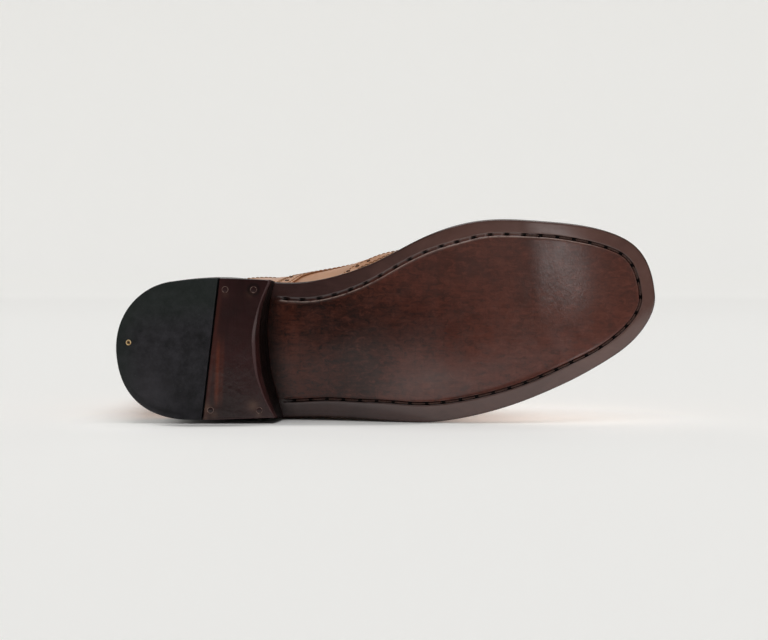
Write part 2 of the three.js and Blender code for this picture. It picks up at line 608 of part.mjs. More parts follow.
// -------------------------------------------------------------------- insole
const feather = (margin) => (x, side) => {
  const key = side === 'lat' ? 'footLat' : 'footMed';
  return flow(UPPER_PLAN, 'x', key, x) * round(x - UPPER_BACK, 36, 2.04) * round(UPPER_TIP - x, TOE_ROUND - 2, 2.3);
};
const featherXs = stations(UPPER_BACK, UPPER_TIP, 34, true, true);
const featherOutline = outline(featherXs, feather());
const insoleZ = (x) => footZ(x) + WALL + GAP;
// a plate cut to the room inside the upper
const insolePlate = toSolid(plate(featherOutline, [
  { d: WALL + 0.6, z: (x) => insoleZ(x) },
  { d: WALL + 0.6, z: (x) => insoleZ(x) + INSOLE_THICK },
]));

// --------------------------------------------------------------------- upper
let upper = orient(upperBody(0, S_END, 10)).subtract(orient(upperBody(WALL, S_END, 10)));
// opening underneath, inside the lasting margin
const under = toSolid(plate(featherOutline, [
  { d: LASTING_MARGIN, z: (x) => footZ(x) - 3 },
  { d: LASTING_MARGIN, z: (x) => footZ(x) + WALL + 3 },
]));
upper = upper.subtract(under);
// collar: everything above the top line
{
  const pts = [];
  for (let x = -20; x <= 150; x += 8.5) pts.push([x, look(COLLAR, 'x', 'z', x)]);
  pts.push([150, 230], [-20, 230]);
  const g = prism(pts, basis([0, 70, 0], [1, 0, 0], [0, 0, 1], [0, -1, 0]), 140);
  upper = upper.subtract(positive(toSolid(g)));
}
// throat: the slot between the facings, open at the collar
{
  const o = [177, 0, 66], u = new THREE.Vector3(-80, 0, 108).normalize(), v = [0, 1, 0];
  const w = new THREE.Vector3().crossVectors(u, new THREE.Vector3(...v)); // points to the front or the back
  if (w.x < 0) w.negate();
  const rows = [];
  for (let i = 0; i <= 12; i++) {
    const s = THROAT[0].s + (S_END - THROAT[0].s) * i / 12;
    const c = section(s, 0);
    const a = (c.tx - o[0]) * u.x + (c.tz - o[2]) * u.z;
    rows.push({ a, half: look(THROAT, 's', 'half', s), mid: flow(RIDGE, 'x', 'shift', c.tx) });
  }
  const pts = [];
  const a0 = rows[0].a;
  pts.push([a0 - 2.6, rows[0].mid + 1.2], [a0 - 1.4, rows[0].mid + 2.4]);
  for (const r of rows) pts.push([r.a, r.mid + r.half]);
  for (const r of [...rows].reverse()) pts.push([r.a, r.mid - r.half]);
  pts.push([a0 - 1.4, rows[0].mid - 2.4], [a0 - 2.6, rows[0].mid - 1.2]);
  const right = new THREE.Vector3().crossVectors(u, new THREE.Vector3(0, 1, 0));
  // prism axes must be right handed: u, y, u x y
  const m = basis(o, [u.x, u.y, u.z], [0, 1, 0], [right.x, right.y, right.z]);
  const deep = 90, start = right.x > 0 ? 0 : -deep;
  const g = prism(pts, m.clone().multiply(lift(start)), deep);
  upper = upper.subtract(positive(toSolid(g)));
}
// eyelet holes and eyelets
const eyeletMeshes = [], lacePoints = [];
for (let k = 0; k < EYELET.rows; k++) {
  const s = EYELET_AT[k];
  const pair = [];
  for (const side of [-1, 1]) {
    const c = section(s, 0), mid = flow(RIDGE, 'x', 'shift', c.tx);
    const y = mid + side * (look(THROAT, 's', 'half', s) + 7.5);
    const [w, sd] = wAtY(s, y);
    const p = new THREE.Vector3(...upperPoint(s, w, sd)), n = normalAt(s, w, sd);
    const q = new THREE.Quaternion().setFromUnitVectors(new THREE.Vector3(0, 0, 1), n);
    const put = (g) => { g.applyQuaternion(q); g.translate(p.x, p.y, p.z); return g; };
    upper = upper.subtract(toSolid(put(nailShape(EYELET.hole, -WALL - 2.5, 3, 9))));
    const e = EYELET, z0 = e.lift, z1 = e.lift + e.flangeThick;
    const prof = [[e.bore, -e.drop], [e.barrel, -e.drop], [e.barrel, z0], [e.flange, z0], [e.flange - 0.5, z1], [e.bore, z1], [e.bore, -e.drop]];
    const g = new THREE.LatheGeometry(prof.map((a) => new THREE.Vector2(a[0], a[1])), 9);
    g.rotateX(Math.PI / 2);
    eyeletMeshes.push([`eyelet_${side < 0 ? 'medial' : 'lateral'}_${k + 1}`, toSolid(put(g))]);
    pair.push({ s, y, side });
  }
  lacePoints.push(pair);
}
upper = upper.simplify(SLIVER);

const insole = insolePlate.intersect(orient(upperBody(WALL + GAP + 0.15, S_END, 10))).simplify(SLIVER);

// -------------------------------------------------------------------- tongue
function tongueBody() {
  const rows = [], sFrom = 1.72, sTo = 13.4, n = 18, m = 6;
  const t0 = WALL + TONGUE_CLEAR, t1 = t0 + TONGUE_THICK;
  for (let i = 0; i <= n; i++) {
    const k = i / n, s = sFrom + (sTo - sFrom) * k;
    const end = round((1 - k) * 100, 10, 2), start = round(k * 100, 8, 2);
    const half = (17 + 9 * smooth(k, 0, 0.8)) * (0.72 + 0.28 * end) * (0.8 + 0.2 * start);
    const row = [];
    for (const t of [t0, t1]) {
      const mid = flow(RIDGE, 'x', 'shift', section(s, t).tx);
      const run = [];
      for (let j = 0; j <= m; j++) {
        const y = mid + half * Math.sin((j / m - 0.5) * Math.PI) * (t === t0 ? 1 : 0.985);
        const [w, sd] = wAtY(s, y, t);
        const p = upperPoint(s, w, sd, t);
        run.push([p[0], y, p[2]]);
      }
      row.push(t === t0 ? run : run.reverse());
    }
    rows.push([...row[0], ...row[1]]);
  }
  const cap = () => {
    const tri = [], N = 2 * (m + 1);
    for (let j = 0; j < m; j++) tri.push([j, j + 1, N - 2 - j], [j, N - 2 - j, N - 1 - j]);
    return tri;
  };
  return loft(rows, cap);
}
const tongue = orient(tongueBody());

// --------------------------------------------------------------------- laces
function laceRun(a, b) {
  const pts = [], n = 6;
  const off = -(EYELET.lift + EYELET.flangeThick + GAP + LACE_R + 0.5);
  for (let i = 0; i <= n; i++) {
    const k = -0.03 + 1.06 * i / n, s = a.s + (b.s - a.s) * k, y = a.y + (b.y - a.y) * k;
    const [w, sd] = wAtY(s, y);
    const p = new THREE.Vector3(...upperPoint(s, w, sd));
    const nrm = normalAt(s, w, sd);
    if (w > 0.995) { const c = section(s, 0); nrm.set(c.tx - c.bx, 0, c.tz - c.bz).normalize(); nrm.lerp(normalAt(s, 0.99, 1).setY(0).normalize(), 0.9).normalize(); }
    pts.push(p.addScaledVector(nrm, -off));
  }
  const curve = new THREE.CatmullRomCurve3(pts);
  const shape = new THREE.Shape();
  for (let i = 0; i < 6; i++) {
    const q = [LACE_R * Math.cos(i * Math.PI / 3), LACE_R * Math.sin(i * Math.PI / 3)];
    if (i) shape.lineTo(...q); else shape.moveTo(...q);
  }
  const g = new THREE.ExtrudeGeometry(shape, { steps: 3, extrudePath: curve, bevelEnabled: false });
  return orient(g.index ? g.toNonIndexed() : g);
}
let laces = laceRun(lacePoints[0][0], lacePoints[0][1]);
for (let k = 0; k + 1 < EYELET.rows; k++) {
  laces = laces.add(laceRun(lacePoints[k][0], lacePoints[k + 1][1]));
  laces = laces.add(laceRun(lacePoints[k][1], lacePoints[k + 1][0]));
}
laces = laces.simplify(SLIVER);

// -------------------------------------------------------------- the whole boot
const LEATHER_SOLE = { color: 0x3a1f1a, roughness: 0.35, metalness: 0 };
const pieces = [
  ['outsole', outsole, LEATHER_SOLE],
  ['heel_stack', stack, { color: 0x2c1a17, roughness: 0.45, metalness: 0 }],
  ['top_piece_leather', topLeather, { color: 0x3b2020, roughness: 0.4, metalness: 0 }],
  ['top_piece_rubber', topRubber, { color: 0x262a2b, roughness: 0.8, metalness: 0 }],
  ...nailMeshes.map(([n, s, brass]) => [n, s, brass ? { color: 0xc79a52, roughness: 0.35, metalness: 1 } : { color: 0x7a5d52, roughness: 0.4, metalness: 0.8 }]),
  ['insole', insole, { color: 0xb98d63, roughness: 0.7, metalness: 0 }],
  ['upper', upper, { color: 0xb87f55, roughness: 0.5, metalness: 0 }],
  ['tongue', tongue, { color: 0xa87049, roughness: 0.55, metalness: 0 }],
  ['laces', laces, { color: 0x4a2d1c, roughness: 0.8, metalness: 0 }],
  ...eyeletMeshes.map(([n, s]) => [n, s, { color: 0x9c7a45, roughness: 0.4, metalness: 1 }]),
];

// Resting plane on the lateral side: the plane y = c - a x - b z that holds the
// whole boot on one side and passes lowest under its centre of mass.
let mass = 0;
const com = [0, 0, 0];
const cloud = [];
for (const [, solid] of pieces) {
  const mesh = solid.getMesh(), p = mesh.vertProperties, q = mesh.triVerts;
  for (let i = 0; i < p.length; i += mesh.numProp) cloud.push([p[i], p[i + 1], p[i + 2]]);
  for (let i = 0; i < q.length; i += 3) {
    const [A, B, C] = [0, 1, 2].map((k) => { const j = q[i + k] * mesh.numProp; return [p[j], p[j + 1], p[j + 2]]; });
    const v = (A[0] * (B[1] * C[2] - B[2] * C[1]) - A[1] * (B[0] * C[2] - B[2] * C[0]) + A[2] * (B[0] * C[1] - B[1] * C[0])) / 6;
    mass += v;
    for (let c = 0; c < 3; c++) com[c] += v * (A[c] + B[c] + C[c]) / 4;
  }
}
for (let c = 0; c < 3; c++) com[c] /= mass;
const far = cloud.filter((p) => p[1] > 20);
const under_ = (a, b) => { let m = -1e9; for (const p of far) m = Math.max(m, p[1] + a * (p[0] - com[0]) + b * (p[2] - com[2])); return m; };
const least = (f, lo, hi) => { for (let i = 0; i < 46; i++) { const u = lo + (hi - lo) / 3, v = hi - (hi - lo) / 3; if (f(u) < f(v)) hi = v; else lo = u; } return (lo + hi) / 2; };
const bestB = (a) => least((b) => under_(a, b), -0.4, 0.4);
const slopeA = least((a) => under_(a, bestB(a)), -0.4, 0.4), slopeB = bestB(slopeA);
const down = new THREE.Vector3(slopeA, 1, slopeB).normalize();      // to the floor, in the boot's axes
const zRow = down.clone().negate();
const yRow = new THREE.Vector3(0, 0, 1).addScaledVector(zRow, -zRow.z).normalize();
const xRow = new THREE.Vector3().crossVectors(yRow, zRow);
const turn = new THREE.Matrix4().makeBasis(xRow, yRow, zRow).transpose();
const box = new THREE.Box3();
for (const p of cloud) box.expandByPoint(new THREE.Vector3(...p).applyMatrix4(turn));

const boot = new THREE.Group();
boot.name = 'brogue_boot';
boot.quaternion.setFromRotationMatrix(turn);
boot.position.set(-(box.min.x + box.max.x) / 2, -(box.min.y + box.max.y) / 2, -box.min.z);
for (const [name, solid, look_] of pieces) {
  const mesh = new THREE.Mesh(fromSolid(solid), new THREE.MeshStandardMaterial(look_));
  mesh.name = name;
  boot.add(mesh);
}
boot.userData = { com, turn: turn.elements, slopeA, slopeB };
const whole = new THREE.Group();
whole.add(boot);
export default whole;
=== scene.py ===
"""Left brogue boot, lying on its lateral side with the sole towards the camera.

Shapes are worked out in the boot's own axes in millimetres (x from the back of
the heel to the toe, y to the lateral side, z up from the ground plane of heel
and tread) and then laid into the frame, in metres.
"""
import json
import math

import bmesh
import bpy
import numpy as np
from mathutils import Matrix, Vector


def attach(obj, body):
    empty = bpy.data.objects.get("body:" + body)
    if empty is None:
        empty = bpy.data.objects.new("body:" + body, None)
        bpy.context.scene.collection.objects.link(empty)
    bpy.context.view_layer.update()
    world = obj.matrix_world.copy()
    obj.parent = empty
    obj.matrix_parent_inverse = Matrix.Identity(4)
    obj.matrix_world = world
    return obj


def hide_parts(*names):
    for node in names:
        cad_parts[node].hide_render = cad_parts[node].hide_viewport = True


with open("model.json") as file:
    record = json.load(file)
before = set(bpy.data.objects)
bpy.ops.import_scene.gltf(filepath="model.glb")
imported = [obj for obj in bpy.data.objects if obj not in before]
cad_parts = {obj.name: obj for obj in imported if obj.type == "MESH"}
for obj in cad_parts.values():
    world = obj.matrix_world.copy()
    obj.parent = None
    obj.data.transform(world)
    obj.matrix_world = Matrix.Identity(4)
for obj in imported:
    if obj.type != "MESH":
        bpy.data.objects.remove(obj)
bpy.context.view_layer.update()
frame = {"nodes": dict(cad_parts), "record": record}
NODES = frame["nodes"]
RNG = np.random.default_rng(7)

# ------------------------------------------------------------------ the axes
_m = {m["name"]: m for m in frame["record"]["mounts"]}
_heel = np.array(_m["heel_face"]["pos_m"]) * 1000
_tread = np.array(_m["tread_face"]["pos_m"]) * 1000
EX = _tread - _heel
EX /= np.linalg.norm(EX)
EZ = -np.array(_m["heel_face"]["axis"], float)
EZ -= EX * (EZ @ EX)
EZ /= np.linalg.norm(EZ)
EY = np.cross(EZ, EX)
ORIGIN = _heel - 30.0 * EX
TURN = np.stack([EX, EY, EZ])


def row(p):
    """Boot axes in mm to the frame in metres."""
    return (ORIGIN + np.asarray(p, float) @ TURN) / 1000


# -------------------------------------------------------------------- tables
LENGTH, SOLE_THICK, GAP, WALL = 302.0, 5.0, 0.3, 2.2
TOP_PIECE_THICK, HEEL_ROUND, TOE_ROUND = 6.0, 35.0, 60.0
UPPER_BACK, UPPER_TIP, TOE_BOX_ROUND = 1.6, 297.6, 27.0
EYELET_AT = np.array([2.55, 3.75, 5.2, 6.9, 8.8, 10.6])

SOLE = np.array([(0, 37.6, 38.0), (20, 38.2, 38.8), (45, 38.8, 41.0), (70, 36.4, 43.3), (90, 31.6, 45.4), (110, 29.3, 47.5),
                 (130, 31.1, 50.6), (150, 35.9, 54.4), (170, 43.4, 56.7), (190, 49.1, 56.0), (210, 51.0, 53.3), (230, 49.0, 48.6),
                 (250, 45.3, 42.6), (270, 43.1, 37.4), (288, 43.4, 33.8), (302, 46.6, 29.2)])          # x, med, lat
TOP_PIECE = np.array([(0, 37.4, 36.8), (20, 37.8, 36.9), (45, 38.3, 39.8), (70, 35.9, 42.1), (90, 32.6, 43.9), (110, 30.0, 45.5)])
SOLE_LINE = np.array([(0, 24.6), (45, 24.2), (80, 22.2), (95, 20.0), (110, 16.6), (125, 12.6), (140, 8.8), (155, 5.4), (170, 2.6),
                      (183, 0.8), (194, 0), (232, 0), (246, 1.0), (262, 3.2), (280, 7.2), (302, 14)])   # x, z
UPPER_PLAN = np.array([(0, 35.6, 36.6, 36.2, 37.6), (20, 36.0, 37.0, 36.8, 37.8), (45, 36.2, 38.6, 36.5, 39.2), (70, 34.0, 40.2, 34.5, 41.4),
                       (90, 30.4, 42.2, 33.6, 43.9), (110, 28.6, 44.4, 34.5, 46.5), (130, 29.9, 47.0, 36.3, 49.2), (150, 32.6, 49.6, 40.3, 51.8),
                       (170, 38.4, 51.4, 42.2, 53.2), (190, 43.4, 50.4, 45.4, 52.2), (210, 45.4, 47.6, 47.0, 49.2), (230, 43.6, 42.8, 45.0, 44.2),
                       (250, 40.2, 37.2, 41.4, 38.4), (270, 38.8, 32.4, 39.8, 33.4), (288, 39.4, 28.6, 40.2, 29.4), (298, 40.0, 25.0, 40.6, 25.6)])
RIDGE = np.array([(120, 118, 0), (160, 100, -2), (178, 88, -3.6), (195, 77.5, -4.8), (213, 68, -5), (232, 59.2, -4.4), (252, 52.4, -3.4),
                  (272, 47.4, -2.2), (298, 42.0, -1.4)])                                                # x, z, shift
BACK = np.array([(20, 1.6, 36), (30, 1.2, 37), (48, -0.4, 39), (70, 1.8, 42), (92, 6.0, 46), (112, 7.2, 50), (132, 5.6, 52), (152, 3.2, 54), (180, 1.0, 56)])
SHAFT = np.array([(20, 36.4, 39.6), (60, 35.2, 39.2), (85, 34.2, 38.2), (105, 34.0, 37.6), (130, 35.6, 38.2), (155, 37.4, 39.4), (185, 38.6, 40.2)])
FAN = np.array([(178, 0, 178, 88, 72, 1.82), (156, 0, 162.5, 98.6, 76, 1.82), (132, 0, 150.5, 108.4, 76, 1.84), (106, 0, 141.8, 117.4, 74, 1.88),
                (80, 0, 135.8, 125.4, 72, 1.92), (54, 0, 131.4, 132.4, 70, 1.96), (30, 0, 128.2, 138.2, 68, 2.0), (11, 0, 125.8, 143.2, 66, 2.02),
                (0, 30, 123.8, 147.8, 64, 2.04), (0, 47, 122.0, 152.2, 62, 2.06), (0, 70, 120.6, 156.8, 60, 2.08), (0, 96, 119.4, 162.0, 59, 2.1),
                (0, 122, 118.4, 168.0, 58, 2.1), (0, 148, 117.6, 174.4, 58, 2.1), (0, 172, 117.0, 181.0, 58, 2.1)])  # bx bz tx tz arch power
COLLAR = np.array([(-20, 152), (5, 151), (35, 147.5), (70, 148), (100, 153.5), (119, 158.5), (150, 164)])
THROAT = np.array([(1.9, 3.0), (4, 6.0), (7, 8.0), (12, 10.5), (16, 12.0)])
BREAST = np.array([(-46, 98.5, 99.0), (-31.8, 89.8, 91.4), (-16.7, 81.6, 86.4), (0, 77.4, 83.6), (16, 76.5, 83.2), (30, 78.6, 84.6), (43.3, 83.4, 86.4), (56, 89.6, 90.2)])
NAILS = [("back", 8.1, -7.8, 1.5), ("front_medial", 80.2, -28.3, 1.8), ("rear_medial", 64.6, -30.3, 1.8), ("front_lateral", 75.1, 38.2, 1.8), ("rear_lateral", 48.4, 34.8, 1.8)]
SPLIT_MED, SPLIT_LAT, SPLIT_W = np.array([62.0, -37.0]), np.array([43.1, 40.0]), 0.8


# ------------------------------------------------------------- small helpers
def clamp(v, a, b):
    return np.minimum(b, np.maximum(a, v))


def smooth(v, a, b):
    t = clamp((v - a) / (b - a), 0, 1)
    return t * t * (3 - 2 * t)


def rnd(d, r, p):
    return (1 - (1 - clamp(d / np.maximum(r, 1e-9), 0, 1)) ** p) ** (1 / p)


class Look:
    """Smooth curve that never overshoots its rows."""

    def __init__(self, x, y):
        self.x, self.y = np.asarray(x, float), np.asarray(y, float)
        h, d = np.diff(self.x), np.diff(self.y) / np.diff(self.x)
        m = np.zeros(len(self.x))
        m[0], m[-1] = d[0], d[-1]
        for k in range(1, len(self.x) - 1):
            a, b = d[k - 1], d[k]
            if a * b > 0:
                w1, w2 = 2 * h[k] + h[k - 1], h[k] + 2 * h[k - 1]
                m[k] = (w1 + w2) / (w1 / a + w2 / b)
        self.m = m

    def __call__(self, v):
        x, y, m = self.x, self.y, self.m
        v = clamp(np.asarray(v, float), x[0], x[-1])
        i = np.clip(np.searchsorted(x, v, side="right") - 1, 0, len(x) - 2)
        H = x[i + 1] - x[i]
        t = (v - x[i]) / H
        t2, t3 = t * t, t * t * t
        return (2 * t3 - 3 * t2 + 1) * y[i] + (t3 - 2 * t2 + t) * H * m[i] + (3 * t2 - 2 * t3) * y[i + 1] + (t3 - t2) * H * m[i + 1]


class Flow:
    """Natural cubic spline through the rows."""

    def __init__(self, x, y):
        self.x, self.y = np.asarray(x, float), np.asarray(y, float)
        n = len(self.x)
        h = np.diff(self.x)
        A, r = np.eye(n), np.zeros(n)
        for i in range(1, n - 1):
            A[i, i - 1], A[i, i], A[i, i + 1] = h[i - 1] / 6, (h[i - 1] + h[i]) / 3, h[i] / 6
            r[i] = (self.y[i + 1] - self.y[i]) / h[i] - (self.y[i] - self.y[i - 1]) / h[i - 1]
        self.m = np.linalg.solve(A, r)

    def __call__(self, v):
        x, y, m = self.x, self.y, self.m
        v = clamp(np.asarray(v, float), x[0], x[-1])
        i = np.clip(np.searchsorted(x, v, side="right") - 1, 0, len(x) - 2)
        h = x[i + 1] - x[i]
        a = (x[i + 1] - v) / h
        b = 1 - a
        return a * y[i] + b * y[i + 1] + ((a ** 3 - a) * m[i] + (b ** 3 - b) * m[i + 1]) * h * h / 6


sole_half = {-1: Flow(SOLE[:, 0], SOLE[:, 1]), 1: Flow(SOLE[:, 0], SOLE[:, 2])}
top_half = {-1: Flow(TOP_PIECE[:, 0], TOP_PIECE[:, 1]), 1: Flow(TOP_PIECE[:, 0], TOP_PIECE[:, 2])}
_sole_line = Look(SOLE_LINE[:, 0], SOLE_LINE[:, 1])
foot_half = {-1: Flow(UPPER_PLAN[:, 0], UPPER_PLAN[:, 1]), 1: Flow(UPPER_PLAN[:, 0], UPPER_PLAN[:, 2])}
wide_half = {-1: Flow(UPPER_PLAN[:, 0], UPPER_PLAN[:, 3]), 1: Flow(UPPER_PLAN[:, 0], UPPER_PLAN[:, 4])}
ridge_z, ridge_shift = Flow(RIDGE[:, 0], RIDGE[:, 1]), Flow(RIDGE[:, 0], RIDGE[:, 2])
back_x, back_round = Flow(BACK[:, 0], BACK[:, 1]), Look(BACK[:, 0], BACK[:, 2])
shaft_half = {-1: Flow(SHAFT[:, 0], SHAFT[:, 1]), 1: Flow(SHAFT[:, 0], SHAFT[:, 2])}
_fs = 2.0 + np.arange(len(FAN))
fan = {c: Look(_fs, FAN[:, k]) for k, c in enumerate(("bx", "bz", "tx", "tz", "arch", "power"))}
collar_z = Look(COLLAR[:, 0], COLLAR[:, 1])
throat_half = Look(THROAT[:, 0], THROAT[:, 1])
breast_lo, breast_hi = Look(BREAST[:, 0], BREAST[:, 1]), Look(BREAST[:, 0], BREAST[:, 2])


def sole_z(x):
    return _sole_line(clamp(x, 0, LENGTH))


def foot_z(x):
    return sole_z(x) + SOLE_THICK + GAP


def section(s, t):
    s, t = np.broadcast_arrays(np.asarray(s, float), np.asarray(t, float))
    x1 = np.where(s < 1, (UPPER_TIP - t) - (UPPER_TIP - t - 240) * (1 - np.cos(clamp(s, 0, 1) * np.pi / 2)), 240 + (178 - 240) * (s - 1))
    z0 = foot_z(x1) + t
    z1 = z0 + (ridge_z(x1) - t - z0) * rnd(UPPER_TIP - t - x1, TOE_BOX_ROUND, 2.2)
    arch1 = (z1 - z0) * (0.86 + 0.04 * smooth(x1, 260, 178))
    power1 = 1.82 + 0.55 * smooth(x1, 190, 262)
    bx, bz, tx, tz = fan["bx"](s), fan["bz"](s), fan["tx"](s), fan["tz"](s)
    mid = s <= 9
    turn = (s > 9) & (s < 10)
    bz = np.where(mid, foot_z(bx) + t, np.where(turn, foot_z(0.0) + t, bz + t * (1 - smooth(s, 10, 11.5))))
    bx = np.where(mid, bx, np.where(turn, 11 + (back_x(30.0) + t - 11) * (s - 9), back_x(bz) + t))
    lx, lz = bx - tx, bz - tz
    m = t * 1.06 / np.hypot(lx, lz)
    tx, tz = tx + lx * m, tz + lz * m
    low = s <= 2
    pick = lambda a, b: np.where(low, a, b)
    return pick(x1, bx), pick(z0, bz), pick(x1, tx), pick(z1, tz), pick(arch1, fan["arch"](s)), pick(power1, fan["power"](s))


def crease(s, w, side):
    """Soft troughs and ridges in mm, minus is a trough: ankle, instep and vamp."""
    c = np.zeros(np.broadcast(s, w).shape)
    for s0, width, w0, ws, deep in ((5.15, 0.26, 0.80, 0.26, 0.75), (5.75, 0.24, 0.70, 0.30, 0.9), (6.45, 0.28, 0.62, 0.34, 0.8), (7.3, 0.34, 0.52, 0.34, 0.55),
                                    (1.60, 0.10, 0.72, 0.34, 0.28), (1.80, 0.09, 0.66, 0.36, 0.34)):
        d = (s - s0 - 0.5 * (w - w0) * (1 if side > 0 else 0.7)) / width
        e = np.exp(-((w - w0) / ws) ** 4)
        c += deep * e * (-np.exp(-d * d) + 0.45 * np.exp(-((np.abs(d) - 1.9) / 0.9) ** 2))
    return c


def upper_point(s, w, side, t=0.0, soft=True):
    """Point of the upper: s runs from the toe over the instep to the collar, w from the sole or the back to the ridge or front, t is the inset."""
    s, w, t, side = np.broadcast_arrays(np.asarray(s, float), np.asarray(w, float), np.asarray(t, float), np.asarray(side, float))
    if soft:
        t = t - crease(s, w, 1) * smooth(w, 0.25, 0.5) * smooth(1 - w, -0.02, 0.05)
    bx, bz, tx, tz, arch, power = section(s, t)
    x, z = bx + (tx - bx) * w, bz + (tz - bz) * w
    L = np.hypot(tx - bx, tz - bz)
    lat = side > 0
    up = smooth(z - foot_z(clamp(x, 0, LENGTH)) - t, -5, 27)
    foot = np.where(lat, foot_half[1](x), foot_half[-1](x))
    wide = np.where(lat, wide_half[1](x), wide_half[-1](x))
    low = foot + (wide - foot) * up
    high = np.where(lat, shaft_half[1](z), shaft_half[-1](z))
    W = low + (high - low) * smooth(z, 52, 112) - t
    back = rnd(x - back_x(z) - t, back_round(z), 2.04)
    toe = rnd(UPPER_TIP - t - x, TOE_ROUND - 2, 2.3)
    top = rnd((1 - w) * L, np.minimum(arch, L), power)
    shift = ridge_shift(x)
    return np.stack([x, side * W * back * toe * top + shift * (1 - top), z], -1)


def w_of(s, v):
    foot = 1 - (1 - v) * (1 - v) * (1 - 0.25 * v)
    oval = 0.5 - 0.5 * np.cos(np.pi * v)
    return foot + (oval - foot) * smooth(s, 4.5, 8)


def mid_y(s, t=0.0):
    return ridge_shift(section(s, t)[2])


def w_at_y(s, y, side, t=0.0):
    lo, hi = np.full(np.shape(s), 0.45), np.ones(np.shape(s))
    for _ in range(34):
        m = (lo + hi) / 2
        up = side * (upper_point(s, m, side, t, soft=False)[..., 1] - y) > 0
        lo, hi = np.where(up, m, lo), np.where(up, hi, m)
    return (lo + hi) / 2


_es = np.concatenate([np.linspace(1.86, 2.4, 40), np.linspace(2.45, 16, 120)])
THROAT_FROM = 1.872
_w_edge = {}
for _side in (-1, 1):
    _open = throat_half(_es) * np.sqrt(clamp((_es - THROAT_FROM) / 0.10, 0, 1))
    _w_edge[_side] = w_at_y(_es, mid_y(_es) + _side * np.maximum(_open, 1e-3), _side)


def w_edge(s, side):
    """w of the throat's edge, 1 in front of the throat."""
    s = np.asarray(s, float)
    return np.where(s <= THROAT_FROM, 1.0, np.interp(s, _es, _w_edge[side]))


def s_collar(w_at, side, drop=0.0):
    """s where the line of w(s) meets the collar's top line, or a line drop below it."""
    lo = np.full(np.shape(w_at(12.0)), 10.0)
    hi = np.full(np.shape(w_at(12.0)), 16.0)
    for _ in range(34):
        m = (lo + hi) / 2
        p = upper_point(m, w_at(m), side)
        under = p[..., 2] < collar_z(p[..., 0]) - drop
        lo, hi = np.where(under, m, lo), np.where(under, hi, m)
    return (lo + hi) / 2


def normal(s, w, side, t=0.0):
    e = 2e-3
    s, w = np.asarray(s, float), np.minimum(np.asarray(w, float), 1 - 2 * e)
    a = upper_point(s + e, w, side, t) - upper_point(s - e, w, side, t)
    b = upper_point(s, w + e, side, t) - upper_point(s, np.maximum(w - e, 0), side, t)
    n = np.cross(a, b)
    n /= np.linalg.norm(n, axis=-1, keepdims=True) + 1e-12
    c = np.stack([np.full_like(n[..., 0], 90.0), np.zeros_like(n[..., 0]), np.full_like(n[..., 0], 40.0)], -1)
    p = upper_point(s, w, side, t)
    out = p - np.stack([clamp(p[..., 0], 60, 250), np.zeros_like(p[..., 0]), np.where(p[..., 0] > 130, 25.0, 60.0) + 0 * p[..., 0]], -1)
    flip = np.sum(n * out, -1) < 0
    n[flip] *= -1
    return n


# ------------------------------------------------------------- mesh building
def make(name, co, faces, mats, index=None, sharp=None, weld=2e-6, smooth_faces=True, attrs=None, fix=True):
    """A mesh object from boot points in mm. attrs are float values per point."""
    me = bpy.data.meshes.new(name)
    me.from_pydata(row(co), [], [tuple(f) for f in faces])
    for m in mats if isinstance(mats, (list, tuple)) else [mats]:
        me.materials.append(m)
    if index is not None:
        me.polygons.foreach_set("material_index", np.asarray(index, np.int32))
    for key, val in (attrs or {}).items():
        a = me.attributes.new(key, "FLOAT", "POINT")
        a.data.foreach_set("value", np.asarray(val, np.float32))
    if fix:
        bm = bmesh.new()
        bm.from_mesh(me)
        bmesh.ops.remove_doubles(bm, verts=bm.verts, dist=weld)
        bmesh.ops.dissolve_degenerate(bm, dist=weld, edges=bm.edges)
        loose = [v for v in bm.verts if not v.link_faces]
        bmesh.ops.delete(bm, geom=loose, context="VERTS")
        bmesh.ops.recalc_face_normals(bm, faces=bm.faces)
        bm.to_mesh(me)
        bm.free()
    if smooth_faces:
        me.polygons.foreach_set("use_smooth", np.ones(len(me.polygons), bool))
    if sharp:
        me.set_sharp_from_angle(angle=math.radians(sharp))
    me.update()
    o = bpy.data.objects.new(name, me)
    bpy.context.scene.collection.objects.link(o)
    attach(o, "root")
    return o


def grid_faces(n, m, base=0, wrap=False):
    """Quads of an n by m grid of points; wrap joins the last column to the first."""
    i = np.arange(n - 1)[:, None]
    j = np.arange(m if wrap else m - 1)[None, :]
    k = (j + 1) % m
    a = i * m + j
    b = i * m + k
    q = np.stack([a, b, b + m, a + m], -1).reshape(-1, 4)
    return q + base


class Pile:
    """Collects points and faces of many small things in one mesh."""

    def __init__(self):
        self.co, self.f, self.n, self.idx = [], [], 0, []

    def add(self, co, faces, index=0):
        self.co.append(np.asarray(co, float).reshape(-1, 3))
        self.f += [tuple(int(k) + self.n for k in q) for q in faces]
        self.idx += [index] * len(faces)
        self.n += len(self.co[-1])

    def make(self, name, mats, **kw):
        return make(name, np.vstack(self.co), self.f, mats, index=self.idx, **kw)


def frame_of(n, t):
    """Unit vectors along t (made square to n), across, and n."""
    n = n / np.linalg.norm(n)
    t = t - n * (t @ n)
    t = t / np.linalg.norm(t)
    return t, np.cross(n, t), n


# ----------------------------------------------------------------- materials
def lin(r, g, b):
    f = lambda c: c / 255 / 12.92 if c / 255 <= 0.04045 else ((c / 255 + 0.055) / 1.055) ** 2.4
    return (f(r), f(g), f(b), 1.0)


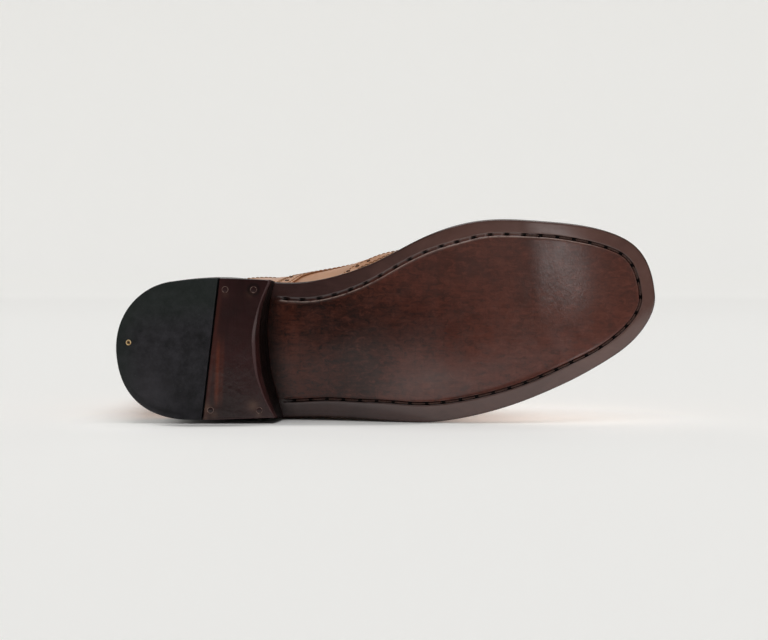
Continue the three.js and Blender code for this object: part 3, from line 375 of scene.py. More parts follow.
class Mat:
    def __init__(self, name):
        self.m = bpy.data.materials.new(name)
        self.m.use_nodes = True
        self.t = self.m.node_tree
        self.b = self.t.nodes["Principled BSDF"]
        self.co = None

    def set(self, **kw):
        for k, v in kw.items():
            self.b.inputs[k.replace("_", " ")].default_value = v
        return self

    def node(self, kind, **kw):
        n = self.t.nodes.new(kind)
        for k, v in kw.items():
            setattr(n, k, v)
        return n

    def link(self, a, b):
        self.t.links.new(a, b)

    def coords(self, scale=(1, 1, 1)):
        if self.co is None:
            self.co = self.node("ShaderNodeTexCoord")
        m = self.node("ShaderNodeMapping")
        m.inputs["Scale"].default_value = scale
        self.link(self.co.outputs["Object"], m.inputs["Vector"])
        return m.outputs["Vector"]

    def noise(self, scale, detail=4, rough=0.55, stretch=(1, 1, 1), dist=0.0):
        n = self.node("ShaderNodeTexNoise")
        n.inputs["Scale"].default_value = scale
        n.inputs["Detail"].default_value = detail
        n.inputs["Roughness"].default_value = rough
        n.inputs["Distortion"].default_value = dist
        self.link(self.coords(stretch), n.inputs["Vector"])
        return n.outputs["Fac"]

    def voronoi(self, scale, feature="F1", stretch=(1, 1, 1), rand=1.0):
        n = self.node("ShaderNodeTexVoronoi", feature=feature)
        n.inputs["Scale"].default_value = scale
        n.inputs["Randomness"].default_value = rand
        self.link(self.coords(stretch), n.inputs["Vector"])
        return n.outputs["Distance"]

    def attr(self, name):
        n = self.node("ShaderNodeAttribute")
        n.attribute_name = name
        return n.outputs["Fac"]

    def map(self, v, a, b, c=0.0, d=1.0):
        n = self.node("ShaderNodeMapRange")
        for k, x in zip(("From Min", "From Max", "To Min", "To Max"), (a, b, c, d)):
            n.inputs[k].default_value = x
        self.link(v, n.inputs["Value"])
        return n.outputs["Result"]

    def math(self, op, a, b=None):
        n = self.node("ShaderNodeMath", operation=op)
        for i, v in enumerate((a, b)):
            if v is None:
                continue
            if isinstance(v, (int, float)):
                n.inputs[i].default_value = v
            else:
                self.link(v, n.inputs[i])
        return n.outputs[0]

    def mix(self, f, a, b, kind="MIX"):
        n = self.node("ShaderNodeMix", data_type="RGBA", blend_type=kind)
        for sock, v in ((n.inputs[0], f), (n.inputs[6], a), (n.inputs[7], b)):
            if isinstance(v, (int, float)):
                sock.default_value = v
            elif isinstance(v, tuple):
                sock.default_value = v
            else:
                self.link(v, sock)
        return n.outputs[2]

    def scale(self, c, f):
        n = self.node("ShaderNodeVectorMath", operation="SCALE")
        self.link(c, n.inputs[0])
        self.link(f, n.inputs["Scale"])
        return n.outputs[0]

    def bump(self, height, strength, distance, under=None):
        n = self.node("ShaderNodeBump")
        n.inputs["Strength"].default_value = strength
        n.inputs["Distance"].default_value = distance
        self.link(height, n.inputs["Height"])
        if under is not None:
            self.link(under, n.inputs["Normal"])
        return n.outputs["Normal"]

    def color(self, v):
        self.link(v, self.b.inputs["Base Color"])

    def rough(self, v):
        self.link(v, self.b.inputs["Roughness"])

    def shape(self, v):
        self.link(v, self.b.inputs["Normal"])


def sole_material():
    """Polished red-brown sole leather: mottled, fine streaks along the sole, pores, a greyer outer band that is partly
    its own burnished colour and partly painted sheen, a pale channel lip, painted sheen on the bevelled waist edge,
    painted light that brightens the tread and band towards the toe, and painted shade in the channel, its stitch holes
    and just in front of the heel.
    """
    M = Mat("sole_leather")
    streak = M.noise(1.0, 6, 0.65, (60, 60, 520), 0.5)
    cross = M.noise(1.0, 5, 0.65, (620, 100, 110), 0.5)
    cloud = M.noise(34, 6, 0.62, (1, 1, 1.5), 0.8)
    patch_ = M.noise(12, 4, 0.55, (1, 1, 1.4), 0.6)
    pores = M.noise(1.0, 4, 0.75, (700, 700, 1100))
    dark, mid, red = lin(44, 21, 16), lin(68, 33, 24), lin(92, 40, 27)
    c = M.mix(M.map(cloud, 0.39, 0.61), dark, mid)
    c = M.mix(M.math("MULTIPLY", M.map(patch_, 0.46, 0.62), 0.60), c, red)
    c = M.mix(M.attr("red"), c, lin(98, 44, 28))
    c = M.mix(M.math("MULTIPLY", M.map(streak, 0.50, 0.68), 0.45), c, lin(30, 14, 11))
    c = M.mix(M.math("MULTIPLY", M.map(streak, 0.47, 0.30), 0.30), c, lin(108, 60, 46))
    c = M.mix(M.math("MULTIPLY", M.map(cross, 0.52, 0.70), 0.42), c, lin(32, 15, 12))
    c = M.mix(M.math("MULTIPLY", M.map(pores, 0.58, 0.74), 0.55), c, lin(26, 13, 11))
    fleck = M.noise(1.0, 5, 0.72, (210, 260, 380), 0.8)
    c = M.mix(M.math("MULTIPLY", M.map(fleck, 0.51, 0.64), 0.74), c, lin(24, 11, 8))
    c = M.mix(M.math("MULTIPLY", M.map(fleck, 0.47, 0.33), 0.56), c, lin(104, 54, 42))
    band = M.mix(M.map(cloud, 0.3, 0.7), lin(54, 34, 32), lin(70, 46, 43))
    band = M.mix(M.math("MULTIPLY", M.map(streak, 0.48, 0.72), 0.3), band, lin(38, 23, 22))
    band = M.mix(M.math("MULTIPLY", M.map(pores, 0.60, 0.75), 0.35), band, lin(30, 18, 17))
    # painted light: the band and the tread turn lighter and greyer towards the toe, where the light from the right
    # front falls; this mask also carries a painted sheen band
    band = M.mix(M.attr("toe"), band, M.mix(M.map(cloud, 0.3, 0.7), lin(84, 59, 53), lin(101, 73, 66)))
    band = M.scale(band, M.map(M.attr("toe"), 0, 1, 1.25, 1.45))
    c = M.mix(M.math("MULTIPLY", M.attr("toe"), 0.38), c, lin(98, 66, 59))
    c = M.scale(c, M.map(M.attr("toe"), 0, 1, 0.92, 1.62))
    c = M.mix(M.attr("band"), c, band)
    # painted shade: the dark mask darkens the channel groove, its stitch holes and the sole just in front of the heel
    # breast, plus two darker patches on the tread
    c = M.mix(M.attr("dark"), c, lin(13, 7, 6))
    c = M.mix(M.attr("edge"), c, lin(54, 34, 29))
    # the lip mask is the pale channel lip, plus painted sheen along the bevelled medial waist edge
    c = M.mix(M.math("MULTIPLY", M.attr("lip"), M.map(M.noise(240, 3, 0.7), 0.30, 0.52)), c, lin(196, 168, 156))
    M.color(c)
    M.rough(M.map(M.noise(60, 5, 0.6), 0.3, 0.7, 0.40, 0.52))
    hatch = M.noise(1.0, 4, 0.7, (520, 300, 300), 0.8)
    n = M.bump(M.noise(26, 3, 0.5), 0.10, 0.0010)
    n = M.bump(streak, 0.045, 0.00022, n)
    n = M.bump(M.math("MULTIPLY", hatch, M.map(M.attr("grain"), 0, 1, 1.15, 4.2)), 0.075, 0.00030, n)
    n = M.bump(pores, 0.14, 0.00010, n)
    scratch = M.map(M.noise(1.0, 2, 0.5, (90, 90, 1400), 1.2), 0.70, 0.74)
    n = M.bump(scratch, 0.10, 0.0002, n)
    M.shape(n)
    M.link(n, M.b.inputs["Coat Normal"])
    coat = M.map(M.noise(110, 4, 0.6), 0.3, 0.7, 0.10, 0.20)
    M.link(coat, M.b.inputs["Coat Roughness"])
    M.link(M.math("MULTIPLY", M.map(M.attr("dark"), 0, 1, 1, 0.15), M.map(M.attr("polish"), 0, 1, 0.42, 1.0)), M.b.inputs["Coat Weight"])
    M.set(Specular_IOR_Level=0.05, Coat_IOR=1.66)
    return M.m


def heel_leather_material():
    M = Mat("heel_leather")
    streak = M.noise(1.0, 5, 0.6, (420, 60, 26), 0.3)
    cloud = M.noise(40, 5, 0.6)
    c = M.mix(M.map(cloud, 0.3, 0.7), lin(42, 21, 20), lin(58, 29, 29))
    c = M.mix(M.math("MULTIPLY", M.map(streak, 0.50, 0.75), 0.30), c, lin(28, 14, 14))
    # the red mask is a painted highlight: a lighter reddish strip along the leather beside the split
    c = M.mix(M.attr("red"), c, lin(104, 48, 30))
    c = M.mix(M.attr("worn"), c, lin(110, 80, 66))
    # the band mask is painted highlight on the bevelled breast edge and the lateral bottom edge
    c = M.mix(M.attr("band"), c, lin(112, 88, 88))
    c = M.mix(M.attr("dark"), c, lin(14, 7, 6))
    M.color(c)
    M.rough(M.map(M.noise(80, 5, 0.6), 0.3, 0.7, 0.34, 0.5))
    n = M.bump(M.noise(55, 4, 0.6), 0.3, 0.0009)
    n = M.bump(streak, 0.2, 0.00025, n)
    n = M.bump(M.noise(900, 3, 0.7), 0.3, 0.0001, n)
    scratch = M.map(M.noise(1.0, 2, 0.5, (260, 260, 60), 1.5), 0.71, 0.74)
    n = M.bump(scratch, 0.15, 0.0002, n)
    M.shape(n)
    M.link(n, M.b.inputs["Coat Normal"])
    M.set(Coat_Weight=0.6, Coat_Roughness=0.15, Specular_IOR_Level=0.12)
    return M.m


def stack_material():
    """Side of the stacked heel: lifts with fine dark joints, waxed dark brown, and painted shade darkening the breast
    face.
    """
    M = Mat("stack_leather")
    fine = M.noise(1.0, 4, 0.6, (60, 1500, 60), 0.2)
    cloud = M.noise(60, 4, 0.6)
    c = M.mix(M.map(cloud, 0.3, 0.7), lin(22, 12, 11), lin(30, 17, 15))
    c = M.mix(M.math("MULTIPLY", M.map(fine, 0.4, 0.7), 0.2), c, lin(16, 8, 8))
    # dark mask: the lifts' dark joints, and painted shade on the breast face
    c = M.mix(M.attr("dark"), c, lin(10, 5, 4))
    M.color(c)
    M.rough(M.map(M.noise(90, 4, 0.6), 0.3, 0.7, 0.30, 0.46))
    n = M.bump(fine, 0.25, 0.0002)
    M.shape(M.bump(cloud, 0.25, 0.0006, n))
    M.set(Coat_Weight=0.2, Coat_Roughness=0.25, Specular_IOR_Level=0.15)
    return M.m


def rubber_material():
    M = Mat("heel_rubber")
    cloud = M.math("ADD", M.math("MULTIPLY", M.noise(150, 6, 0.72), 0.6), M.math("MULTIPLY", M.noise(24, 4, 0.6), 0.4))
    grain = M.noise(900, 4, 0.75)
    speck = M.voronoi(420)
    c = M.mix(M.map(cloud, 0.38, 0.62), lin(20, 19, 22), lin(54, 52, 57))
    c = M.mix(M.math("MULTIPLY", M.attr("green"), 0.75), c, lin(36, 46, 40))
    c = M.mix(M.math("MULTIPLY", M.map(grain, 0.62, 0.74), 0.5), c, lin(70, 74, 76))
    c = M.mix(M.math("MULTIPLY", M.map(speck, 0.10, 0.05), M.map(M.noise(60, 2), 0.55, 0.62, 0.0, 0.55)), c, lin(96, 96, 92))
    c = M.mix(M.attr("pale"), c, lin(72, 69, 74))
    # the dark mask is painted shade just inside the rubber's bottom edge
    c = M.mix(M.attr("dark"), c, lin(12, 12, 13))
    M.color(c)
    M.rough(M.map(M.noise(120, 5, 0.6), 0.3, 0.7, 0.56, 0.74))
    n = M.bump(grain, 0.4, 0.00025)
    n = M.bump(M.noise(160, 4, 0.6), 0.3, 0.0005, n)
    M.shape(n)
    M.set(Specular_IOR_Level=0.28)
    return M.m


def metal_material(name, col, dirt, rough_):
    M = Mat(name)
    c = M.mix(M.map(M.noise(700, 4, 0.6), 0.4, 0.62), col, dirt)
    M.color(c)
    M.rough(M.map(M.noise(900, 3, 0.6), 0.3, 0.7, rough_, rough_ + 0.2))
    M.shape(M.bump(M.noise(1500, 3, 0.6), 0.3, 0.0001))
    M.set(Metallic=0.85)
    return M.m


def tan_material(name, a, b, dark, edge=None, grain=1.0, rough_=(0.36, 0.5)):
    """Tan calf: fine grain cells, slow colour change, and painted shade darkening it beside the edges of the panels
    laid over it and down at the sole.
    """
    M = Mat(name)
    cloud = M.noise(16, 4, 0.55, dist=0.5)
    fine = M.noise(150, 5, 0.6)
    cells = M.voronoi(900, "DISTANCE_TO_EDGE")
    c = M.mix(M.map(cloud, 0.3, 0.7), a, b)
    c = M.mix(M.math("MULTIPLY", M.map(fine, 0.45, 0.75), 0.25), c, dark)
    # painted shade beside overlay edges and along the sole
    c = M.mix(M.attr("edge_shade"), c, dark)
    if edge is not None:
        c = M.mix(M.attr("edge"), c, edge)
    M.color(c)
    M.rough(M.map(M.noise(70, 4, 0.6), 0.3, 0.7, *rough_))
    n = M.bump(M.noise(45, 4, 0.55), 0.25 * grain, 0.0010)
    n = M.bump(M.map(cells, 0.0, 0.16), 0.22 * grain, 0.00010, n)
    n = M.bump(fine, 0.2 * grain, 0.0002, n)
    M.shape(n)
    M.set(Coat_Weight=0.12, Coat_Roughness=0.3, Specular_IOR_Level=0.45)
    return M.m


def thread_material(name, col, dark):
    M = Mat(name)
    tw = M.noise(1600, 3, 0.6)
    M.color(M.mix(M.map(tw, 0.35, 0.65), dark, col))
    M.set(Roughness=0.7)
    M.shape(M.bump(tw, 0.5, 0.0001))
    return M.m


def plain_dark(name, col, rough_=0.8):
    M = Mat(name)
    M.color(M.mix(M.map(M.noise(800, 3, 0.6), 0.35, 0.65), col, tuple(c * 1.6 for c in col[:3]) + (1.0,)))
    M.set(Roughness=rough_)
    M.shape(M.bump(M.noise(1400, 2, 0.6), 0.3, 0.0001))
    return M.m


def insole_material():
    M = Mat("insole_leather")
    c = M.mix(M.map(M.noise(40, 5, 0.6), 0.3, 0.7), lin(168, 128, 92), lin(190, 152, 114))
    M.color(M.mix(M.math("MULTIPLY", M.map(M.noise(300, 4, 0.7), 0.5, 0.75), 0.4), c, lin(140, 100, 70)))
    M.set(Roughness=0.6)
    M.shape(M.bump(M.noise(700, 4, 0.7), 0.35, 0.0002))
    return M.m


def lace_material():
    """Round waxed lace: mottled brown with a fine bump and soft sheen; the slanted braid from two crossing waves is in
    the lace mesh.
    """
    M = Mat("lace_cord")
    tw = M.noise(1100, 4, 0.6)
    M.color(M.mix(M.map(tw, 0.35, 0.65), lin(52, 30, 18), lin(84, 54, 34)))
    M.set(Roughness=0.62, Sheen_Weight=0.2, Sheen_Roughness=0.5)
    M.shape(M.bump(tw, 0.7, 0.0003))
    return M.m


SOLE_MAT = sole_material()
HEEL_MAT = heel_leather_material()
STACK_MAT = stack_material()
RUBBER_MAT = rubber_material()
BRASS_NAIL = metal_material("brass_nail", lin(250, 222, 170), lin(206, 164, 104), 0.42)
DARK_BRASS = metal_material("nail_core", lin(190, 146, 92), lin(120, 82, 44), 0.5)
RING_METAL = metal_material("heel_nail", lin(168, 142, 132), lin(94, 70, 64), 0.52)
TAN = tan_material("upper_tan", lin(196, 138, 94), lin(182, 122, 80), lin(128, 80, 48), lin(92, 54, 30))
TAN_OVER = tan_material("overlay_tan", lin(200, 142, 98), lin(186, 126, 84), lin(130, 82, 50), lin(96, 58, 34))
LINING = tan_material("lining_leather", lin(206, 176, 140), lin(192, 158, 120), lin(170, 132, 96), None, 0.6, (0.5, 0.65))
THREAD = thread_material("upper_thread", lin(176, 134, 92), lin(118, 78, 46))
SOLE_THREAD = thread_material("sole_thread", lin(96, 66, 56), lin(52, 32, 27))
# the dark perforation and stitch-hole colours are painted shade for the inside of the holes
HOLE_MAT = plain_dark("perforation", lin(40, 20, 12))
HOLE_DEEP = plain_dark("stitch_hole", lin(18, 9, 8))
EYELET_MAT = metal_material("eyelet_brass", lin(150, 116, 66), lin(84, 60, 32), 0.32)
INSOLE_MAT = insole_material()
LACE_MAT = lace_material()

# -------------------------------------------------------------------- camera
scene = bpy.context.scene
scene.view_settings.view_transform = "Standard"
scene.view_settings.look = "None"
cam_data = bpy.data.cameras.new("camera")
cam_data.lens, cam_data.sensor_width = 85, 36
cam_data.clip_start, cam_data.clip_end = 0.05, 100
cam = bpy.data.objects.new("camera", cam_data)
scene.collection.objects.link(cam)
CAM_E = math.radians(2.57)
TARGET = Vector((-0.0017, -0.081, 0.0573))
cam.location = TARGET + 0.9995 * Vector((0, -math.cos(CAM_E), math.sin(CAM_E)))
cam.rotation_euler = (TARGET - cam.location).to_track_quat("-Z", "Y").to_euler()
scene.camera = cam


# --------------------------------------------------------------------- stage
def stage_material():
    M = Mat("stage")
    em = M.node("ShaderNodeEmission")
    em.inputs["Color"].default_value = lin(232, 231, 227)
    M.link(M.attr("glow"), em.inputs["Strength"])
    M.color(M.mix(M.attr("shade"), (0.02, 0.02, 0.02, 1), (0.80, 0.795, 0.78, 1)))
    M.set(Roughness=0.9, Specular_IOR_Level=0.1)
    add = M.node("ShaderNodeAddShader")
    M.link(M.b.outputs[0], add.inputs[0])
    M.link(em.outputs[0], add.inputs[1])
    M.link(add.outputs[0], M.t.nodes["Material Output"].inputs["Surface"])
    return M.m


def build_stage():
    """Pale floor that sweeps up behind, evenly bright, with painted shadow under the boot and along its contact line
    and painted light lifting the boot's shade in front, under the toe and behind the heel.
    """
    bend = np.linspace(0, np.pi / 2, 40)
    flat = np.concatenate([np.linspace(STAGE_FRONT, -0.25, 10), np.linspace(-0.24, -0.115, 20), np.linspace(-0.11, -0.06, 26), np.linspace(-0.055, 0.2, 40), np.linspace(0.25, 2.2, 20)])
    ys = np.concatenate([flat, 2.2 + 1.2 * np.sin(bend)[1:], [3.4, 3.4]])
    zs = np.concatenate([np.zeros(len(flat)), 1.2 - 1.2 * np.cos(bend)[1:], [2.5, 5.0]])
    xs = np.concatenate([[-5.0, -1.0, -0.5], np.linspace(-0.24, 0.24, 81), [0.5, 1.0, 5.0]])
    n = len(ys)
    X, Y = np.meshgrid(xs, ys, indexing="ij")
    co = np.stack([X, Y, np.broadcast_to(zs, X.shape)], -1).reshape(-1, 3)
    f = [tuple(int(k) for k in q) for q in grid_faces(len(xs), n)]
    me = bpy.data.meshes.new("stage")
    me.from_pydata([tuple(v) for v in co], [], f)
    me.materials.append(stage_material())
    glow = me.attributes.new("glow", "FLOAT", "POINT")
    arc = np.concatenate([[0], np.cumsum(np.hypot(np.diff(ys), np.diff(zs)))]) + STAGE_FRONT
    g = np.interp(arc, GLOW[:, 0], GLOW[:, 1])
    g = np.broadcast_to(g, X.shape)
    front = np.interp(X, [-0.15, -0.135, -0.11, -0.05, 0.0, 0.02, 0.06], [-0.060, -0.080, -0.092, -0.089, -0.088, -0.084, -0.060])
    # painted shadow: the glow is taken away under the boot, up to its contact line
    under = smooth(Y - front, -0.004, 0.004) * (1 - smooth(Y, 0.06, 0.085))
    under = under * smooth(X, -0.128, -0.108) * (1 - smooth(X, 0.010, 0.050))
    bell = lambda x0, y0, sx, sy: np.exp(-((X - x0) / sx) ** 2 - ((Y - y0) / sy) ** 2)
    # painted light: extra glow in front of the boot, under the toe and behind the heel lifts the shade the boot casts
    # on the floor
    g = g + np.interp(Y, [-0.42, -0.25, -0.17, -0.10, -0.05, 0.0], [0, 0.012, 0.031, 0.038, 0.018, 0]) * (1 - smooth(np.abs(X + 0.01), 0.12, 0.19))
    g = g * (1 - under) + 0.44 * bell(0.100, -0.060, 0.046, 0.030) + 0.10 * bell(0.085, -0.02, 0.06, 0.05) + 0.19 * bell(-0.142, -0.062, 0.026, 0.040)
    line = np.exp(-((Y - front + 0.002) / 0.005) ** 2) * smooth(X, -0.132, -0.118) * (1 - 0.8 * smooth(X, -0.088, -0.060)) * (1 - smooth(X, -0.02, 0.03))
    shade = me.attributes.new("shade", "FLOAT", "POINT")
    shade.data.foreach_set("value", (1 - 0.7 * line).reshape(-1).astype(np.float32))
    glow.data.foreach_set("value", g.reshape(-1).astype(np.float32))
    me.polygons.foreach_set("use_smooth", np.ones(len(me.polygons), bool))
    o = bpy.data.objects.new("stage", me)
    scene.collection.objects.link(o)


def area(name, loc, aim, size, power, color=(1, 1, 1)):
    d = bpy.data.lights.new(name, "AREA")
    d.shape = "RECTANGLE"
    d.size, d.size_y = size
    d.energy, d.color = power, color
    o = bpy.data.objects.new(name, d)
    o.location = loc
    o.rotation_euler = (Vector(aim) - Vector(loc)).to_track_quat("-Z", "Y").to_euler()
    scene.collection.objects.link(o)
    return o


def build_card(name, y, us, vs, strength):
    """A soft-edged glowing card behind the camera, facing the boot: us is (middle, core, wide core) in x, vs is (low, high) in z."""
    u = np.concatenate([np.linspace(-1, 1, 61)]) * 0.95 + us[0]
    v = np.linspace(0.0, 1.25, 101)
    U, V = np.meshgrid(u, v, indexing="ij")
    me = bpy.data.meshes.new(name)
    me.from_pydata([(float(a), y, float(b)) for a, b in zip(U.ravel(), V.ravel())], [], [tuple(int(k) for k in q) for q in grid_faces(len(u), len(v))])
    M = Mat(name)
    em = M.node("ShaderNodeEmission")
    M.link(M.attr("glow"), em.inputs["Strength"])
    M.link(em.outputs[0], M.t.nodes["Material Output"].inputs["Surface"])
    me.materials.append(M.m)
    d = U - us[0]
    bell = 0.68 * np.exp(-(d / us[1]) ** 2) + 0.32 * np.exp(-(d / us[2]) ** 2)
    tall = smooth(V, vs[0] - 0.05, vs[0] + 0.08) * (1 - smooth(V, vs[1] - 0.3, vs[1] + 0.2))
    side = 1 - smooth(np.abs(d), 0.80, 0.95)
    g = me.attributes.new("glow", "FLOAT", "POINT")
    g.data.foreach_set("value", (strength * bell * tall * side).ravel().astype(np.float32))
    o = bpy.data.objects.new(name, me)
    scene.collection.objects.link(o)


# how much the stage glows by itself, by distance along it
STAGE_FRONT = -0.80
GLOW = np.array([(-0.80, 0.210), (-0.42, 0.222), (-0.25, 0.226), (-0.17, 0.226), (-0.10, 0.228), (-0.05, 0.221), (0.0, 0.212), (0.3, 0.200), (0.9, 0.172), (1.5, 0.152), (1.9, 0.152), (2.2, 0.189),
                 (2.45, 0.248), (2.7, 0.323), (2.9, 0.378), (3.1, 0.428), (3.35, 0.485), (3.6, 0.528), (8.0, 0.528)])
build_stage()
sun_data = bpy.data.lights.new("overhead", "SUN")
sun_data.energy, sun_data.angle = 1.95, math.radians(58)
sun = bpy.data.objects.new("overhead", sun_data)
sun.rotation_euler = (math.radians(2), math.radians(4), 0)
scene.collection.objects.link(sun)
build_card("right_card", -1.68, (0.676, 0.165, 0.40), (0.140, 0.95), 2.10)
world = bpy.data.worlds.new("world")
scene.world = world
world.use_nodes = True
world.node_tree.nodes["Background"].inputs["Color"].default_value = (1, 1, 1, 1)
world.node_tree.nodes["Background"].inputs["Strength"].default_value = 0.07


# ------------------------------------------------------------------- outsole
def stations(n, length=LENGTH):
    u = np.linspace(0, 1, n)
    return length * (0.82 * (0.5 - 0.5 * np.cos(np.pi * u)) + 0.18 * smooth(u, 0, 1))


HEEL_POWER, TOE_POWER = {-1: 2.08, 1: 2.2}, {-1: 2.38, 1: 2.3}


def outline_half(x, side, halves=sole_half, back=0.0, tip=LENGTH):
    return halves[side](x) * rnd(x - back, HEEL_ROUND, HEEL_POWER[side]) * rnd(tip - x, TOE_ROUND, TOE_POWER[side])


def loop_of(xs, half):
    lat = np.stack([xs, half(xs, 1)], 1)
    med = np.stack([xs, -half(xs, -1)], 1)
    return np.vstack([lat, med[1:-1][::-1]])


def loop_normals(loop):
    t = np.roll(loop, -1, 0) - np.roll(loop, 1, 0)
    t /= np.linalg.norm(t, axis=1, keepdims=True)
    return np.stack([t[:, 1], -t[:, 0]], 1)      # points in: the loop runs clockwise from above


# inset of the stitch channel along the edge
CHANNEL = {-1: Look([80, 95, 110, 130, 148, 160, 178, 196, 210, 228, 248, 266, 280, 292, 302], [8.6, 8.9, 10.3, 9.8, 8.1, 7.3, 8.0, 9.2, 8.3, 8.4, 8.1, 8.7, 8.8, 8.6, 8.9]),
           1: Look([80, 99, 108, 118, 127, 136, 146, 158, 168, 187, 210, 230, 248, 267, 284, 295, 302], [9.5, 9.5, 10.4, 10.2, 10.1, 10.7, 11.1, 10.7, 10.6, 10.3, 9.8, 9.3, 9.3, 8.4, 8.9, 8.7, 8.9])}
CAMBER = Look([0, 70, 95, 120, 150, 180, 215, 250, 302], [0, 0.2, 1.1, 1.7, 1.3, 0.8, 0.6, 0.6, 0.5])


def build_outsole():
    n = 470
    xs = stations(n)
    loop = loop_of(xs, outline_half)
    nrm = loop_normals(loop)
    m = len(loop)
    side = np.where(np.arange(m) < n, 1, -1)
    x0 = loop[:, 0]
    D = np.where(side > 0, CHANNEL[1](x0), CHANNEL[-1](x0))
    D = np.convolve(np.concatenate([D[-9:], D, D[:9]]), np.ones(19) / 19, "same")[9:-9]
    # where the channel is, how open it is, and its stitches
    seg = np.linalg.norm(np.roll(loop, -1, 0) - loop, axis=1)
    arc = np.concatenate([[0], np.cumsum(seg)[:-1]])
    here = np.where(side > 0, smooth(x0, 86, 90), smooth(x0, 92, 95))
    open_ = np.where(side > 0, 1.0, 0.22 + 0.78 * smooth(x0, 215, 262))
    # arc measured along the channel itself, so that stitches keep their pitch
    ch = loop + nrm * D[:, None]
    cseg = np.linalg.norm(np.roll(ch, -1, 0) - ch, axis=1)
    carc = np.concatenate([[0], np.cumsum(cseg)[:-1]])
    i0, i1 = np.argmax((side > 0) & (x0 > 92)), m - 1 - np.argmax(((side < 0) & (x0 > 97))[::-1])
    count = int(round((carc[i1] - carc[i0]) / 9.25))
    pitch = (carc[i1] - carc[i0]) / count
    k = (carc - carc[i0]) / pitch
    near = (k - np.round(k)) * pitch + 0.25 * np.sin(np.round(k) * 2.4)
    inside = (k > -0.4) & (k < count + 0.4)
    hole = np.exp(-(near / 1.60) ** 4) * inside
    rel = np.array([-2.6, -1.9, -1.4, -1.1, -0.9, -0.7, -0.35, 0.0, 0.35, 0.65, 0.85, 1.05, 1.25, 1.5, 2.0, 2.6, 3.6])
    groove = np.array([0, 0, .02, .10, .45, .85, 1.0, 1.0, 1.0, .85, .40, -.02, 0, 0, 0, 0, 0])
    lipr = np.array([0, 0, 0, 0, 0, 0, 0, 0, 0, 0, -.05, -.85, -1.0, -.7, -.3, -.08, 0])
    narrow = np.ones(m)
    rings, attrs = [], {k_: [] for k_ in ("band", "dark", "lip", "edge", "red", "toe", "polish", "grain")}

    def ring(d, z, **a):
        p = loop + nrm * (np.broadcast_to(d, (m,)))[:, None]
        z = z(p) if callable(z) else z
        rings.append(np.column_stack([p, np.broadcast_to(z, (m,))]))
        for key in attrs:
            attrs[key].append(np.broadcast_to(np.asarray(a.get(key, 0.0), float), (m,)))

    half_here = np.abs(loop[:, 1]) + 3

    def under(d):
        edge_roll = 0.85 * (1 - clamp(np.asarray(d) / 9.0, 0, 1)) ** 1.5
        c = CAMBER(x0) * (1 - clamp(np.asarray(d) / (0.85 * np.maximum(half_here, 26)), 0, 1)) ** 2
        on_heel = 1 - smooth(x0, 78, 92)
        return lambda p: sole_z(p[:, 0]) + (edge_roll + c) * (1 - on_heel)

    top = lambda p: sole_z(p[:, 0]) + SOLE_THICK
    # top face, rounded top corner, side, rounded bottom corner
    for d in (14.0, 7.0, 3.0, 1.7):
        ring(d, top, edge=1.0)
    for a in (0, 25, 50, 75):
        c, s = math.cos(math.radians(a)), math.sin(math.radians(a))
        ring(1.0 - 0.9 * s, (lambda c: lambda p: sole_z(p[:, 0]) + SOLE_THICK - 0.8 * (1 - c))(c), edge=1.0)
    for f in (0.2, 0.4, 0.6, 0.8):
        bulge = 0.05 * math.sin(math.pi * f)
        ring(0.08 - bulge, (lambda f: lambda p: sole_z(p[:, 0]) + (SOLE_THICK - 0.9) * (1 - f) + (0.9 + 0.85 * smooth(x0, 78, 92) + CAMBER(x0)) * f)(f), edge=1.0)
    for a in (15, 40, 65, 90):
        c, s = math.cos(math.radians(a)), math.sin(math.radians(a))
        r = 1.15
        ring(0.04 + r * (1 - c), (lambda s, c: lambda p: under(0.04 + r * (1 - c))(p) + 0.9 * (1 - s))(s, c), edge=1.0 - 0.9 * (a / 90) ** 2, band=(a / 90) ** 2)
    for d in (1.7, 2.5):
        ring(d, under(d), band=1.0, edge=0.10 * (d < 2))
    for f in (0.25, 0.5, 0.75, 1.0):
        d = 2.5 + (D - 2.6 - 2.5) * f
        ring(d, under(d), band=1.0)
    depth = 0.75 * here * open_ + 0.10 * here * (1 - open_)
    for r_, g_, l_ in zip(rel[1:], groove[1:], lipr[1:]):
        d = D + r_ * narrow
        across = math.exp(-(r_ / 0.78) ** 4)
        g = g_ * depth + across * hole * here * (0.95 - 0.15 * open_)
        lip = l_ * 0.20 * here * (1.0 - 0.5 * open_)
        wall_ = math.exp(-((abs(r_) - 0.85) / 0.28) ** 2)
        # painted shade in the groove, along its walls and in the stitch holes
        dark = clamp((0.30 * abs(g_) + 0.50 * wall_) * here * (0.08 + 0.92 * open_) * (1 if -1.2 < r_ < 1.0 else 0) + across * hole * here, 0, 1)
        medial_lip = np.where(side < 0, smooth(x0, 93, 96) * (1 - 0.85 * smooth(x0, 262, 284)), 0.0)
        lipv = (math.exp(-((r_ - 1.26) / 0.18) ** 2)) * here * medial_lip
        bandv = 1 - smooth(np.full(m, r_), -0.4, 0.6) * here - (1 - here) * smooth(np.full(m, r_), -2.0, 2.0) * 1.0
        ring(d, (lambda d, g, lip: lambda p: under(d)(p) + g + lip)(d, g, lip), band=clamp(bandv, 0, 1), dark=dark, lip=lipv)
    inner = rings[-1]
    top_in = rings[0]
    R = len(rings)
    co = np.vstack(rings)
    faces = [grid_faces(R, m, 0, wrap=True)]
    att = {key: np.concatenate(v) for key, v in attrs.items()}
    base = len(co)
    # fill between the two sides, lateral station i joined to medial station i
    med_i = np.concatenate([[0], np.arange(m - 1, n - 1, -1), [n - 1]])

